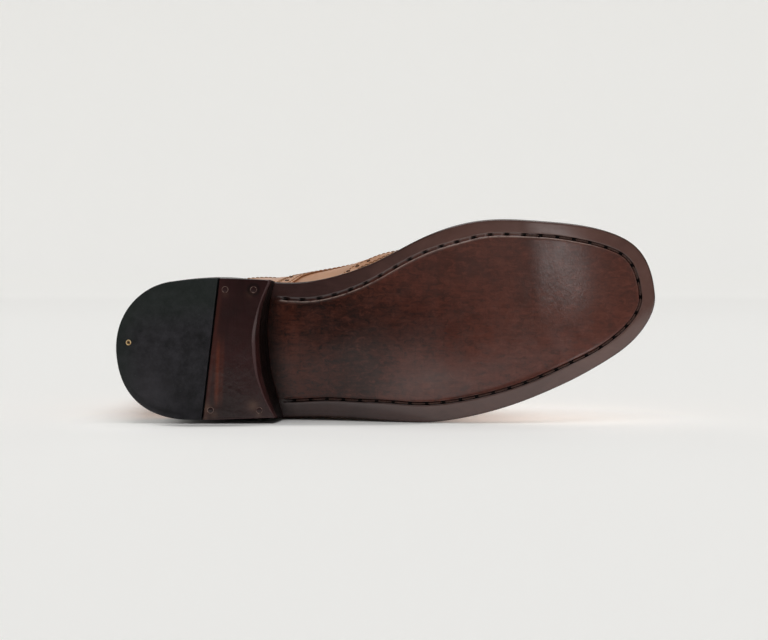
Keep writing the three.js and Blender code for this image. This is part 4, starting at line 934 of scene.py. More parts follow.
    def fill(loop3, cols, zf, start):
        a, b = loop3[np.arange(n)], loop3[med_i]
        f = np.linspace(0, 1, cols + 2)[1:-1]
        p = a[:, None, :] * (1 - f)[None, :, None] + b[:, None, :] * f[None, :, None]
        p[..., 2] = zf(p, f, a, b)
        idx = np.empty((n, cols + 2), int)
        idx[:, 1:-1] = base + start + np.arange(n * cols).reshape(n, cols)
        return p.reshape(-1, 3), idx

    cols = 30
    C = CAMBER(xs)[:, None]

    def z_under(p, f, a, b):
        # continues the camber from the inner ring to the middle
        fa = (a[:, 2] - sole_z(a[:, 0]))[:, None]
        fb = (b[:, 2] - sole_z(b[:, 0]))[:, None]
        bowl = (2 * np.abs(f - 0.5)[None, :]) ** 2.0
        side_v = fa * (1 - f)[None, :] + fb * f[None, :]
        return sole_z(p[..., 0]) + side_v * bowl

    p1, idx1 = fill(inner, cols, z_under, 0)
    idx1[:, 0] = (R - 1) * m + np.arange(n)
    idx1[:, -1] = (R - 1) * m + med_i
    p2, idx2 = fill(top_in, 6, lambda p, f, a, b: sole_z(p[..., 0]) + SOLE_THICK, len(p1))
    idx2[:, 0] = np.arange(n)
    idx2[:, -1] = med_i
    for idx in (idx1, idx2):
        q = np.stack([idx[:-1, :-1], idx[:-1, 1:], idx[1:, 1:], idx[1:, :-1]], -1).reshape(-1, 4)
        faces.append(q)
    co = np.vstack([co, p1, p2])
    for key in att:
        att[key] = np.concatenate([att[key], np.zeros(len(p1) + len(p2))])
    # gentle hand-finished unevenness of the underside, and slow colour masks: painted light towards the toe, a painted
    # sheen band, painted shade in front of the heel, and darker patches
    x, y = co[:, 0], co[:, 1]
    under_side = np.zeros(len(co))
    under_side[12 * m:R * m] = 1
    under_side[R * m:R * m + len(p1)] = 1
    wob = 0.10 * np.sin(x / 17.0 + 0.7 * np.sin(y / 13.0)) * np.sin(y / 15.0 + x / 41.0) + 0.05 * np.sin(x / 7.3 + y / 9.1)
    flat = 1 - smooth(x, 186, 196) * (1 - smooth(x, 230, 240)) * 0.6
    co[:, 2] += under_side * wob * flat * smooth(x, 92, 100)
    red = 0.75 * np.exp(-((x - 97) / 9.0) ** 2) * np.exp(-((y - 10) / 30.0) ** 4) + 0.28 * np.exp(-((x - 150) / 26.0) ** 2) * np.exp(-((y + 4) / 26.0) ** 2) \
        + 0.30 * np.exp(-((x - 268) / 20.0) ** 2) * np.exp(-((y + 10) / 22.0) ** 2)
    att["red"] = clamp(red * (1 - att["band"]), 0, 1)
    # painted light: the tread grows lighter towards the toe, less on the lateral half, and less again over a patch
    # mid-tread
    att["toe"] = smooth(x, 108, 200) * (1 - 0.35 * smooth(y, 10, 40) * (1 - smooth(x, 235, 270))) * under_side
    att["toe"] = att["toe"] * (1 - 0.68 * np.exp(-((x - 160) / 36.0) ** 2 - ((y - 4) / 19.0) ** 2) * (1 - att["band"]))
    gleam = np.exp(-((x - 247 - 0.5 * (y + 9)) / 18.0) ** 2 - ((y + 10) / 18.0) ** 2)
    dull = np.exp(-((x - 262) / 26.0) ** 2 - ((y - 13) / 9.5) ** 2)
    # painted sheen: a low band across the lateral part of the tread, added into the toe's painted light
    low = np.exp(-((y - 37 + (x - 148) * 0.15) / 9.0) ** 2) * smooth(x, 125, 160) * (1 - smooth(x, 262, 285))
    att["toe"] = att["toe"] + 0.45 * low * (1 - att["toe"]) * under_side * (1 - att["band"])
    # two darker patches: mid-tread and on the lateral band
    att["dark"] = clamp(att["dark"] + under_side * (0.27 * np.exp(-((x - 166) / 28.0) ** 2 - ((y - 3) / 15.0) ** 2) + 0.10 * np.exp(-((x - 198) / 24.0) ** 2 - ((y - 52) / 7.0) ** 2)), 0, 1)
    att["polish"] = clamp(smooth(x, 112, 175) * (0.54 + 0.46 * gleam + 0.42 * low - 0.85 * dull) + att["band"] * 0.8, 0, 1)
    att["grain"] = under_side * np.exp(-((x - 238) / 34.0) ** 2 - ((y + 6) / 24.0) ** 2)
    # painted sheen along the bevelled medial waist edge
    waist = (y < 0) * smooth(x, 118, 132) * (1 - smooth(x, 172, 190))
    att["lip"][8 * m:12 * m] += (0.34 * waist)[8 * m:12 * m]
    # painted shadow on the sole just in front of the heel breast
    att["dark"] = clamp(att["dark"] + under_side * 0.62 * (1 - smooth(x, 84, 97 - 4 * np.cos(y / 30.0))), 0, 1)
    f = np.vstack(faces)
    o = make("outsole_leather", co, f, SOLE_MAT, attrs=att, weld=1e-6, sharp=58)
    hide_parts("outsole")

    # thread that shows in the open channel, dipping into each hole
    pile = Pile()
    ks = np.arange(count)
    kk = (carc - carc[i0]) / pitch
    for a in ks:
        sl = (kk >= a - 0.6) & (kk <= a + 1.6)
        if open_[np.argmin(np.abs(kk - a - 0.5))] < 0.45:
            continue
        f_ = np.linspace(0.14, 0.86, 9)
        px = np.interp(a + f_, kk[i0 - 4:i1 + 5], ch[i0 - 4:i1 + 5, 0])
        py = np.interp(a + f_, kk[i0 - 4:i1 + 5], ch[i0 - 4:i1 + 5, 1])
        zz = sole_z(px) + 0.85 + CAMBER(px) * 0.72 - 0.30 * np.sin(np.pi * (f_ - 0.1) / 0.8) ** 0.5 + 0.02
        path = np.column_stack([px, py, zz])
        tube(pile, path, 0.50, 7)
    t = pile.make("sole_stitches", [SOLE_THREAD], weld=1e-7)


def tube(pile, path, r, sides=8, index=0, flat=1.0, up=(0, 0, 1), taper=True):
    """A round-ended tube along a path of boot points."""
    path = np.asarray(path, float)
    n = len(path)
    r = np.broadcast_to(r, (n,)).astype(float)
    t = np.gradient(path, axis=0)
    t /= np.linalg.norm(t, axis=1, keepdims=True)
    u = np.cross(t, np.broadcast_to(np.asarray(up, float), t.shape))
    u /= np.linalg.norm(u, axis=1, keepdims=True) + 1e-12
    v = np.cross(u, t)
    a = np.linspace(0, 2 * np.pi, sides, endpoint=False)
    rings = []
    if taper:
        lead = path[0] - t[0] * r[0] * 0.6
        tail = path[-1] + t[-1] * r[-1] * 0.6
        path = np.vstack([lead, path, tail])
        t = np.vstack([t[:1], t, t[-1:]])
        u = np.vstack([u[:1], u, u[-1:]])
        v = np.vstack([v[:1], v, v[-1:]])
        r = np.concatenate([[r[0] * 0.6], r, [r[-1] * 0.6]])
    n = len(path)
    ring = path[:, None, :] + r[:, None, None] * (np.cos(a)[None, :, None] * u[:, None, :] + flat * np.sin(a)[None, :, None] * v[:, None, :])
    co = ring.reshape(-1, 3)
    f = [tuple(q) for q in grid_faces(n, sides, 0, wrap=True)]
    f.append(tuple(range(sides - 1, -1, -1)))
    f.append(tuple(range((n - 1) * sides, n * sides)))
    pile.add(co, f, index)


build_outsole()


# ---------------------------------------------------------------------- heel
def heel_half(x, z, side):
    a = outline_half(x + 0.0, side, top_half, 0.5, 400.0)
    b = outline_half(x, side, sole_half, 0.0, 400.0)
    k = clamp(z / 24.0, 0, 1)
    return a + (b - a) * k


def breast_x(y, z):
    k = np.maximum(0, clamp((z - 1) / 23.0, 0, 1.3)) ** 0.8
    a, b = breast_lo(y), breast_hi(y)
    return a + (b - a) * k


def heel_side_run(z, side, from_x=None, n=90):
    """Side of the heel at height z from the back to the breast or to from_x."""
    if from_x is None:
        lo, hi = 60.0, 110.0
        for _ in range(40):
            m = (lo + hi) / 2
            if m < breast_x(side * heel_half(np.array(m), z, side), z):
                lo = m
            else:
                hi = m
        from_x = (lo + hi) / 2
    u = np.linspace(0, 1, n)
    t = 1 - np.cos(np.pi * u / 2)
    x0 = 0.5 * (1 - clamp(z / 24.0, 0, 1))
    x = x0 + (from_x - x0) * (0.75 * t + 0.25 * u * u)
    y = side * heel_half(x, z, side)
    y[0] = 0
    return np.column_stack([x, y])


def ring_solid(name, rings, mats, attrs=None, cap=(True, True), index=None, sharp=40, caps_attr=None):
    """Closed solid from loops of equal length with flat n-gon caps."""
    m = len(rings[0])
    co = np.vstack(rings)
    f = [tuple(q) for q in grid_faces(len(rings), m, 0, wrap=True)]
    idx = [0] * len(f)
    last = (len(rings) - 1) * m
    if cap[0]:
        f.append(tuple(range(m)))
        idx.append(0)
    if cap[1]:
        f.append(tuple(range(last + m - 1, last - 1, -1)))
        idx.append(0)
    return make(name, co, f, mats, index=idx, attrs=attrs, sharp=sharp, weld=1e-6)


split_dir = (SPLIT_LAT - SPLIT_MED) / np.linalg.norm(SPLIT_LAT - SPLIT_MED)
split_n = np.array([split_dir[1], -split_dir[0]])          # to the toe


def split_x(y, offset):
    """x of the split line at y, moved to the toe by offset."""
    mid = (SPLIT_MED + SPLIT_LAT) / 2
    # mid + a*dir + offset*n = (x, y)
    a = (y - mid[1] - offset * split_n[1]) / split_dir[1]
    return mid[0] + a * split_dir[0] + offset * split_n[0]


def corner_on_split(z, side, offset):
    lo, hi = 20.0, 90.0
    for _ in range(40):
        m = (lo + hi) / 2
        if m < split_x(side * heel_half(np.array(m), z, side), offset):
            lo = m
        else:
            hi = m
    return (lo + hi) / 2


def build_heel():
    # rubber quarter: from the lateral end of the split round the back to the medial end
    def rubber_runs(z, d):
        xl, xm = corner_on_split(z, 1, -SPLIT_W / 2 - d), corner_on_split(z, -1, -SPLIT_W / 2 - d)
        lat = heel_side_run(z, 1, xl, 100)
        med = heel_side_run(z, -1, xm, 100)
        return lat, med

    def shrink(run, side, d):
        """Moves a side run in by d, the back point along x."""
        t = np.gradient(run, axis=0)
        t /= np.linalg.norm(t, axis=1, keepdims=True)
        n = np.column_stack([t[:, 1], -t[:, 0]]) * side
        out = run + n * d
        out[0] = [run[0, 0] + d, 0]
        return out

    prof = [(0.95, 0.0), (0.62, 0.06), (0.34, 0.2), (0.13, 0.42), (0.02, 0.75), (0.0, 1.2), (0.0, 2.5), (0.0, 4.0), (0.0, 5.4), (0.15, 5.85), (0.3, 6.0)]
    n = 100
    rings = []
    for d, z in prof:
        lat, med = rubber_runs(z, 0.0)
        lat, med = shrink(lat, 1, d), shrink(med, -1, d)
        ends = max(0.12, d * 0.55)
        # ends on the split line, moved back from it by the corner's rounding
        for run, side in ((lat, 1), (med, -1)):
            x_end = split_x(run[:, 1], -SPLIT_W / 2 - ends)
            run[:, 0] = np.minimum(run[:, 0], x_end)
        rings.append((lat, med, z))
    co, faces = [], []
    m = 2 * n - 1
    for lat, med, z in rings:
        loop = np.vstack([lat[::-1], med[1:]])             # lateral split end -> back -> medial split end
        co.append(np.column_stack([loop, np.full(m, z)]))
    cols = 34
    f = np.linspace(0, 1, cols + 2)[1:-1]
    for r in range(len(rings)):                            # the straight cut edge of every ring
        a, b = co[r][-1], co[r][0]
        co[r] = np.vstack([co[r], a[None] * (1 - f)[:, None] + b[None] * f[:, None]])
    m = len(co[0])
    pts = np.vstack(co)
    faces = [grid_faces(len(rings), m, 0, wrap=True)]
    base = len(pts)
    # bottom grid between the lateral and the medial run, mirrored stations
    low = co[0]
    lat_i = np.arange(n - 1, -1, -1)                       # back ... split on the lateral side
    med_i = np.arange(n - 1, 2 * n - 1)
    a, b = low[lat_i], low[med_i]
    p = a[:, None, :] * (1 - f)[None, :, None] + b[:, None, :] * f[None, :, None]
    idx = np.empty((n, cols + 2), int)
    idx[:, 1:-1] = base + np.arange(n * cols).reshape(n, cols)
    idx[:, 0], idx[:, -1] = lat_i, med_i
    idx[-1, 1:-1] = np.arange(2 * n - 1, m)[::-1]          # the last row is the cut edge itself
    faces.append(np.stack([idx[:-1, :-1], idx[:-1, 1:], idx[1:, 1:], idx[1:, :-1]], -1).reshape(-1, 4))
    pts = np.vstack([pts, p.reshape(-1, 3)])
    base2 = len(pts)
    last = (len(rings) - 1) * m
    top = co[-1]
    p2 = (top[lat_i] + top[med_i]) / 2
    idx2 = np.column_stack([last + lat_i, base2 + np.arange(n), last + med_i])
    faces.append(np.stack([idx2[:-1, :-1], idx2[:-1, 1:], idx2[1:, 1:], idx2[1:, :-1]], -1).reshape(-1, 4))
    pts = np.vstack([pts, p2])
    x, y, z = pts.T
    edge = 1 - clamp(z / 0.5, 0, 1)
    green = clamp(0.75 * smooth(-y, 8, 30) + 0.6 * (1 - smooth(x, 2, 16)), 0, 1)
    # painted shade: a dark line just inside the rubber's lateral bottom edge, where its bevel falls into shade
    lower = np.exp(-((np.hypot(x - 36, y) - 34.5) / 0.7) ** 2) * smooth(y, 14, 24) * (z < 0.3)
    o = make("heel_rubber_quarter", pts, np.vstack(faces), RUBBER_MAT, attrs={"green": green, "dark": 0.6 * lower, "pale": 0.42 * np.exp(-((x - 16) / 15.0) ** 2 - ((y - 20) / 17.0) ** 2)}, sharp=50, weld=1e-6)
    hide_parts("top_piece_rubber")

    # leather section of the top piece, with its bevelled breast edge
    def leather_ring(d, z, bevel):
        """Loop: split edge lateral->medial, medial side, breast medial->lateral, lateral side."""
        ends = max(0.10, d * 0.5)
        xs_l = corner_on_split(z, 1, SPLIT_W / 2 + ends)
        xs_m = corner_on_split(z, -1, SPLIT_W / 2 + ends)
        lat = heel_side_run(z, 1, None, 200)
        med = heel_side_run(z, -1, None, 200)
        lat, med = shrink(lat, 1, d), shrink(med, -1, d)

        def part(run, x_from, count):
            # breast corner moved back by the bevel
            yb = run[-1, 1]
            x_to = run[-1, 0] - bevel(yb) - ends
            xs_ = np.linspace(x_from, x_to, count)
            return np.column_stack([xs_, np.interp(xs_, run[:, 0], run[:, 1])])

        med_p = part(med, xs_m, 40)
        lat_p = part(lat, xs_l, 40)
        ys = np.linspace(med_p[-1, 1], lat_p[-1, 1], 76)[1:-1]
        br = np.column_stack([breast_x(ys, z) - np.array([bevel(v) for v in ys]), ys])
        # the corners meet the breast curve
        med_p[-1, 0] = breast_x(med_p[-1, 1], z) - bevel(med_p[-1, 1]) - 0.2
        lat_p[-1, 0] = breast_x(lat_p[-1, 1], z) - bevel(lat_p[-1, 1]) - 0.2
        ys2 = np.linspace(lat_p[0, 1], med_p[0, 1], 76)[1:-1]
        sp = np.column_stack([split_x(ys2, SPLIT_W / 2 + ends), ys2])
        return np.vstack([med_p, br, lat_p[::-1], sp])

    bev = lambda y: 0.5 + 1.25 * math.exp(-((y - 2.0) / 20.0) ** 2) * 1.0 + 0.5 * (1 if y < -20 else 0) * min(1, (-20 - y) / 8 if y < -20 else 0)
    full = [(0.75, 0.0, 1.0), (0.45, 0.06, 0.97), (0.2, 0.22, 0.86), (0.05, 0.5, 0.60), (0.0, 0.9, 0.30), (0.0, 1.25, 0.0), (0.0, 3.0, 0.0), (0.0, 5.6, 0.0), (0.2, 6.0, 0.0)]
    rings = []
    for d, z, k in full:
        loop = leather_ring(d, z, lambda y, k=k: bev(y) * k)
        rings.append(np.column_stack([loop, np.full(len(loop), z)]))
    m = len(rings[0])
    pts = np.vstack(rings)
    faces = [grid_faces(len(rings), m, 0, wrap=True)]
    # bottom grid: from the split edge (rows) to the breast, stations across y
    base = len(pts)
    low = rings[0]
    # left boundary (split, from medial to lateral) and right boundary (breast, medial to lateral)
    nm = 40
    split_i = np.concatenate([[0], np.arange(m - 1, m - 75, -1), [nm + 74 + 39]])   # medial corner -> lateral corner
    breast_i = np.concatenate([[nm - 1], np.arange(nm, nm + 74), [nm + 74]])
    med_side = np.arange(0, nm)
    lat_side = np.arange(nm + 74 + 39, nm + 74 - 1, -1)
    a, b = low[split_i], low[breast_i]
    cnt = nm - 2
    g = np.linspace(0, 1, nm)[1:-1]
    p = a[:, None, :] * (1 - g)[None, :, None] + b[:, None, :] * g[None, :, None]
    idx = np.empty((76, nm), int)
    idx[:, 0], idx[:, -1] = split_i, breast_i
    idx[:, 1:-1] = base + np.arange(76 * cnt).reshape(76, cnt)
    idx[0], idx[-1] = med_side, lat_side
    faces.append(np.stack([idx[:-1, :-1], idx[:-1, 1:], idx[1:, 1:], idx[1:, :-1]], -1).reshape(-1, 4))
    pts = np.vstack([pts, p.reshape(-1, 3)])
    last = (len(rings) - 1) * m
    idx2 = np.column_stack([last + split_i, last + breast_i])
    faces.append(np.stack([idx2[:-1, 0], idx2[:-1, 1], idx2[1:, 1], idx2[1:, 0]], -1).reshape(-1, 4))
    x, y, z = pts.T
    across = split_x(y, SPLIT_W / 2)
    dsplit = x - across
    mid_ = 3.9 + 0.083 * (y - 1.4)
    # painted highlight: lighter reddish strips beside the split, standing in for light on a bevel
    red = (0.85 * np.exp(-((dsplit - mid_) / 1.25) ** 2) + 0.35 * np.exp(-((dsplit - mid_ - 2.6) / 0.9) ** 2)) * smooth(y, -9, 5) * (1 - smooth(y, 27, 37)) * (z < 0.3) \
        + 0.30 * np.exp(-((dsplit - 1.2) / 1.3) ** 2) * smooth(y, -40, -16) * (z < 0.3)
    worn = np.zeros(len(pts))
    for wx, wy, wr, ws in ((46.0, 33.6, 2.9, 0.72), (50.0, 37.8, 2.0, 0.5), (45.0, 39.6, 1.8, 0.5), (72.0, 35.4, 2.8, 0.62), (74.4, 40.8, 1.8, 0.42), (64.5, -27.6, 1.6, 0.22), (78.0, -26.0, 2.0, 0.24)):
        worn += ws * np.exp(-(((x - wx) ** 2 + (y - wy) ** 2) / wr ** 2) ** 1.0)
    # painted highlight on the bevelled breast edge and along the lateral bottom edge
    slope = (z > 0.03) & (z < 1.0) & (x > breast_x(y, 0.0) - 3.2)
    band = np.where(slope, 0.55, 0.0) + np.where((z > 0.03) & (z < 0.7) & (y > 38) & ~slope, 0.42, 0.0)
    ring_dark = np.exp(-((np.hypot(x - 80.2, y + 28.3) - 2.9) / 0.8) ** 2) * 0.75 * (z < 0.3)
    o = make("heel_leather_section", pts, np.vstack(faces), HEEL_MAT, attrs={"red": clamp(red, 0, 1), "worn": clamp(worn, 0, 0.8), "band": band, "dark": ring_dark}, sharp=36, weld=1e-6)
    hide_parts("top_piece_leather")

    # stacked lifts
    z_lo = TOP_PIECE_THICK + GAP
    levels, darks = [z_lo], [0.5]
    insets = [0.25]
    z = z_lo + 0.25
    levels.append(z); insets.append(0.0); darks.append(0)
    joint = [z_lo + 4.6 * k for k in range(1, 4)]
    for j in joint:
        for dz, ins, dk in ((-0.30, 0.0, 0), (-0.10, 0.16, 1), (0.10, 0.16, 1), (0.30, 0.0, 0)):
            levels.append(j + dz); insets.append(ins); darks.append(dk)
    top_share = (0.0, 0.35, 0.7, 0.93, 1.0)
    loops, dark_v = [], []

    def stack_loop(z, d):
        lat, med = shrink(heel_side_run(z, 1, None, 110), 1, d), shrink(heel_side_run(z, -1, None, 110), -1, d)
        ys = np.linspace(med[-1, 1], lat[-1, 1], 62)[1:-1]
        br = np.column_stack([breast_x(ys, z) - d * 0.2, ys])
        return np.vstack([lat[::-1], med[1:], br])

    # the dark joints between lifts are the leather's own; the breast face is darkened as painted shade
    for z, d, dk in zip(levels, insets, darks):
        p = stack_loop(z, d)
        loops.append(np.column_stack([p, np.full(len(p), z)]))
        dark_v.append(np.concatenate([np.full(len(p) - 60, float(dk)), np.full(60, 0.85)]))
    z_last = levels[-1]
    for k in top_share[1:]:
        p = stack_loop(z_last + (22.0 - z_last) * k, 0.0 if k < 1 else 0.12)
        zt = z_last + (sole_z(p[:, 0]) - GAP - z_last) * k
        loops.append(np.column_stack([p, zt]))
        dark_v.append(np.concatenate([np.zeros(len(p) - 60), np.full(60, 0.85)]))
    o = ring_solid("heel_stack_lifts", loops, STACK_MAT, attrs={"dark": np.concatenate(dark_v)}, sharp=42)
    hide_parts("heel_stack")


def lathe(pile, at, axis, prof, seg=28, index=0, lean=(0, 0, 0)):
    """A turned shape: prof rows are (radius, height along axis)."""
    n = np.asarray(axis, float)
    n = n / np.linalg.norm(n)
    t, b, n = frame_of(n, np.array([1.0, 0.2, 0.1]))
    a = np.linspace(0, 2 * np.pi, seg, endpoint=False)
    rings = [np.asarray(at) + n * h + r * (np.cos(a)[:, None] * t + np.sin(a)[:, None] * b) for r, h in prof]
    f = [tuple(q) for q in grid_faces(len(prof), seg, 0, wrap=True)]
    f.append(tuple(range(seg - 1, -1, -1)))
    f.append(tuple(range((len(prof) - 1) * seg, len(prof) * seg)))
    pile.add(np.vstack(rings), f, index)


def build_nails():
    ring, core = Pile(), Pile()
    for name, x, y, r in NAILS:
        at = (x, y, 0.0)
        back = name == "back"
        ring_, core_ = Pile(), Pile()
        w = 0.55 if back else 0.26
        h = 0.16 if back else 0.05
        prof = [(r - 0.02, -2.0), (r, -0.6), (r, h * 0.4), (r - w * 0.25, h), (r - w * 0.75, h), (r - w, h * 0.3), (r - w - 0.05, -0.5), (0.2, -0.5)]
        lathe(ring_, at, (0, 0, -1), prof, 36)
        o = ring_.make("nail_ring_" + name, [BRASS_NAIL if back else RING_METAL], sharp=60)
        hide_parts("heel_nail_" + name)
        rc = r - w - 0.06
        lathe(core_, at, (0, 0, -1), [(rc, -0.7), (rc, -0.05), (rc * 0.8, 0.03), (rc * 0.45, 0.07 if not back else -0.02), (rc * 0.12, 0.08 if not back else -0.08)], 28)
        c = core_.make("nail_core_" + name, [DARK_BRASS if back else HEEL_MAT], sharp=60)


build_heel()
build_nails()


# --------------------------------------------------------------------- upper
def s_rows(fine=1.0):
    a = np.concatenate([np.linspace(0.0, 1, int(46 * fine)), np.linspace(1, 2, int(30 * fine))[1:], np.linspace(2, 9, int(104 * fine))[1:], np.linspace(9, 10, int(12 * fine))[1:]])
    return a


def shell_grid(side, t, nv, n_top=46, low=0.0):
    """Rows of (s, w) that end on the collar's line and on the throat's edge."""
    s1 = s_rows()
    v = np.linspace(0, 1, nv + 1)
    rows_s, rows_w = [], []
    for s in s1:
        rows_s.append(np.full(nv + 1, s))
        rows_w.append(low + (1 - low) * w_of(s, v) * w_edge(s, side))
    end = s_collar(lambda m: w_of(m, v) * w_edge(m, side), side)
    for k in np.linspace(0, 1, n_top)[1:]:
        s = 10 + (end - 10) * k
        rows_s.append(s)
        rows_w.append(w_of(s, v) * w_edge(s, side))
    return np.array(rows_s), np.array(rows_w)


def rim(o_row, i_row, out_dir, steps=4, bulge=0.9):
    """Rows of points that round an edge from the outer row to the inner row."""
    rows = []
    for a in np.linspace(0, np.pi, steps + 2)[1:-1]:
        rows.append(o_row * (1 + math.cos(a)) / 2 + i_row * (1 - math.cos(a)) / 2 + out_dir * bulge * math.sin(a))
    return rows


# front and lower edge of the quarters: s as a function of w
QUARTER_S = Look([0.0, 0.08, 0.16, 0.22, 0.27, 0.32, 0.38, 0.48, 0.60, 0.72, 0.84, 0.93, 1.0], [5.27, 5.31, 5.31, 5.18, 4.86, 4.45, 4.0, 3.45, 3.0, 2.62, 2.26, 2.0, 1.9])
WING_S = Look([0.0, 0.07, 0.14, 0.22, 0.31, 0.42, 0.54, 0.66, 0.76, 0.85, 0.93, 1.0], [4.24, 4.14, 3.98, 3.36, 2.60, 2.04, 1.66, 1.40, 1.24, 1.17, 1.22, 1.36])


def quarter_dist(s, w):
    """Rough distance in mm behind the quarter's edge, positive on the quarter."""
    return (s - QUARTER_S(w)) * 24.0


def base_t(s, w):
    """The vamp is set in by the thickness of the panels that lie on it."""
    return 0.80 + 0.35 * smooth(quarter_dist(s, w), 3.0, 9.0)


def quarter_t(s, w):
    """The outside of the quarters is the boot's own surface, pulled in a little where the heel's sides hide it."""
    return 0.62 * np.exp(-((s - 6.32) / 0.36) ** 2) * (1 - smooth(w, 0.42, 0.58))


def build_shell():
    pts, faces, index, edge_shade, edge = [], [], [], [], []
    n0 = 0
    for side in (-1, 1):
        nv = 62
        S, W = shell_grid(side, 0, nv)
        out = upper_point(S, W, side, base_t(S, W))
        inn = upper_point(S, W, side, np.full(S.shape, WALL))
        # collar rim
        d_up = out[-1] - out[-3]
        d_up /= np.linalg.norm(d_up, axis=1, keepdims=True)
        top_rows = rim(out[-1], inn[-1], d_up)
        R, C = S.shape
        seq = [out] + [np.array([r]) for r in top_rows] + [inn[::-1]]
        full = np.concatenate(seq, 0)                       # rows: out up to the collar, over, and down inside
        # throat rim, only where the throat is open
        rows_n = full.shape[0]
        co = full.reshape(-1, 3)
        f = grid_faces(rows_n, C)
        r_mid = R + len(top_rows)
        rr = np.repeat(np.arange(rows_n - 1), C - 1)
        idx = (rr >= R + 1).astype(int)
        open_rows = np.where(S[:, -1] > THROAT_FROM + 0.002)[0]
        extra, ef = [], []
        o_e, i_e = out[open_rows, -1], inn[open_rows, -1]
        toward = out[open_rows, -1] - out[open_rows, -3]
        toward /= np.linalg.norm(toward, axis=1, keepdims=True)
        rows_ = rim(o_e, i_e, toward, 3, 0.7)
        base = len(co)
        strip = [open_rows * C + C - 1] + [base + k * len(open_rows) + np.arange(len(open_rows)) for k in range(3)] + [(rows_n - 1 - open_rows) * C + C - 1]
        extra = np.vstack(rows_)
        strip = np.array(strip)
        ef = np.stack([strip[:-1, :-1], strip[:-1, 1:], strip[1:, 1:], strip[1:, :-1]], -1).reshape(-1, 4)
        # bottom edge: outer feather row to the inner one
        lo_out = np.arange(R) * C
        lo_in = (rows_n - 1 - np.arange(R)) * C
        keep = np.where(S[:, 0] < 10.0)[0]
        k2 = keep
        bf = np.stack([lo_out[k2][:-1], lo_out[k2][1:], lo_in[k2][1:], lo_in[k2][:-1]], -1)
        co = np.vstack([co, extra])
        pts.append(co)
        faces.append(np.vstack([f, ef, bf]) + n0)
        index += idx.tolist() + [0] * len(ef) + [1] * len(bf)
        n0 += len(co)
        b = np.zeros(len(co))
        full_s = np.concatenate([S, np.repeat(S[-1:], len(top_rows), 0), S[::-1]], 0).reshape(-1)
        full_w = np.concatenate([W, np.repeat(W[-1:], len(top_rows), 0), W[::-1]], 0).reshape(-1)
        q = quarter_dist(full_s, full_w)
        wg = (full_s - WING_S(full_w)) * 30.0
        # painted shade on the vamp beside the quarter's and wing cap's raised edges and along the sole
        bb = 0.55 * np.exp(-(q / 3.0) ** 2) + 0.5 * np.exp(-(wg / 3.0) ** 2) + 0.35 * (1 - smooth(full_w, 0.0, 0.05))
        b[:len(bb)] = bb
        edge_shade.append(clamp(b, 0, 0.8))
    o = make("upper_vamp_and_lining", np.vstack(pts), np.vstack(faces), [TAN, LINING], index=index, attrs={"edge_shade": np.concatenate(edge_shade)}, weld=4e-6, sharp=60)
    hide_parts("upper")


def patch(pile, side, S, W, t_out, thick, edges, index=0, bulge=0.35):
    """A thin leather panel over a grid of (s, w): its outside at t_out, closed underneath."""
    out = upper_point(S, W, side, t_out)
    inn = upper_point(S, W, side, t_out + thick)
    n, m = S.shape
    co = [out.reshape(-1, 3), inn.reshape(-1, 3)]
    off = n * m
    f = [grid_faces(n, m), grid_faces(n, m, off)[:, ::-1]]
    start = 2 * off

    def border(line_out, line_in, inward, rounded):
        nonlocal start
        o_, i_ = co[0][line_out], co[1][line_in - off]
        if not rounded:
            return np.stack([line_out[:-1], line_out[1:], line_in[1:], line_in[:-1]], -1)
        d = o_ - co[0][inward]
        d /= np.linalg.norm(d, axis=1, keepdims=True) + 1e-9
        rows_ = rim(o_, i_, d, 3, bulge)
        ids = [line_out]
        for r in rows_:
            co.append(r)
            ids.append(start + np.arange(len(r)))
            start += len(r)
        ids.append(line_in)
        ids = np.array(ids)
        return np.stack([ids[:-1, :-1], ids[:-1, 1:], ids[1:, 1:], ids[1:, :-1]], -1).reshape(-1, 4)

    g = np.arange(off).reshape(n, m)
    for name, line, inw in (("s0", g[0], g[1]), ("s1", g[-1], g[-2]), ("w0", g[:, 0], g[:, 1]), ("w1", g[:, -1], g[:, -2])):
        mode = edges.get(name, "plain")
        if mode == "none":
            continue
        f.append(border(line, line + off, inw, mode == "round"))
    pile.add(np.vstack(co), np.vstack(f), index)
    return len(np.vstack(co))


def edge_curve(kind, side, n=400):
    """(s, w) along a panel's visible edge, from the sole up."""
    w = np.linspace(0.0, 1.0, n)
    if kind == "quarter":
        s = QUARTER_S(w)
        keep = w < w_edge(s, side) - 0.002
        return s[keep], w[keep]
    if kind == "wing":
        return WING_S(w), w


def surface_walk(s, w, side, t, vec, steps=4):
    """(s, w) of the surface point next to each P(s, w) + vec."""
    P = upper_point(s, w, side, t)
    X = P + vec
    s, w = s.copy(), w.copy()
    e = 1e-3
    for _ in range(steps):
        p = upper_point(s, w, side, t)
        a = (upper_point(s + e, w, side, t) - upper_point(s - e, w, side, t)) / (2 * e)
        b = (upper_point(s, w + e, side, t) - upper_point(s, w - e, side, t)) / (2 * e)
        r = X - p
        aa, ab, bb = (a * a).sum(-1), (a * b).sum(-1), (b * b).sum(-1)
        ra, rb = (r * a).sum(-1), (r * b).sum(-1)
        det = aa * bb - ab * ab + 1e-9
        ds = np.clip((ra * bb - rb * ab) / det, -0.3, 0.3)
        dw = np.clip((rb * aa - ra * ab) / det, -0.05, 0.05)
        s, w = s + ds, np.clip(w + dw, 1e-4, 0.9995)
    return s, w


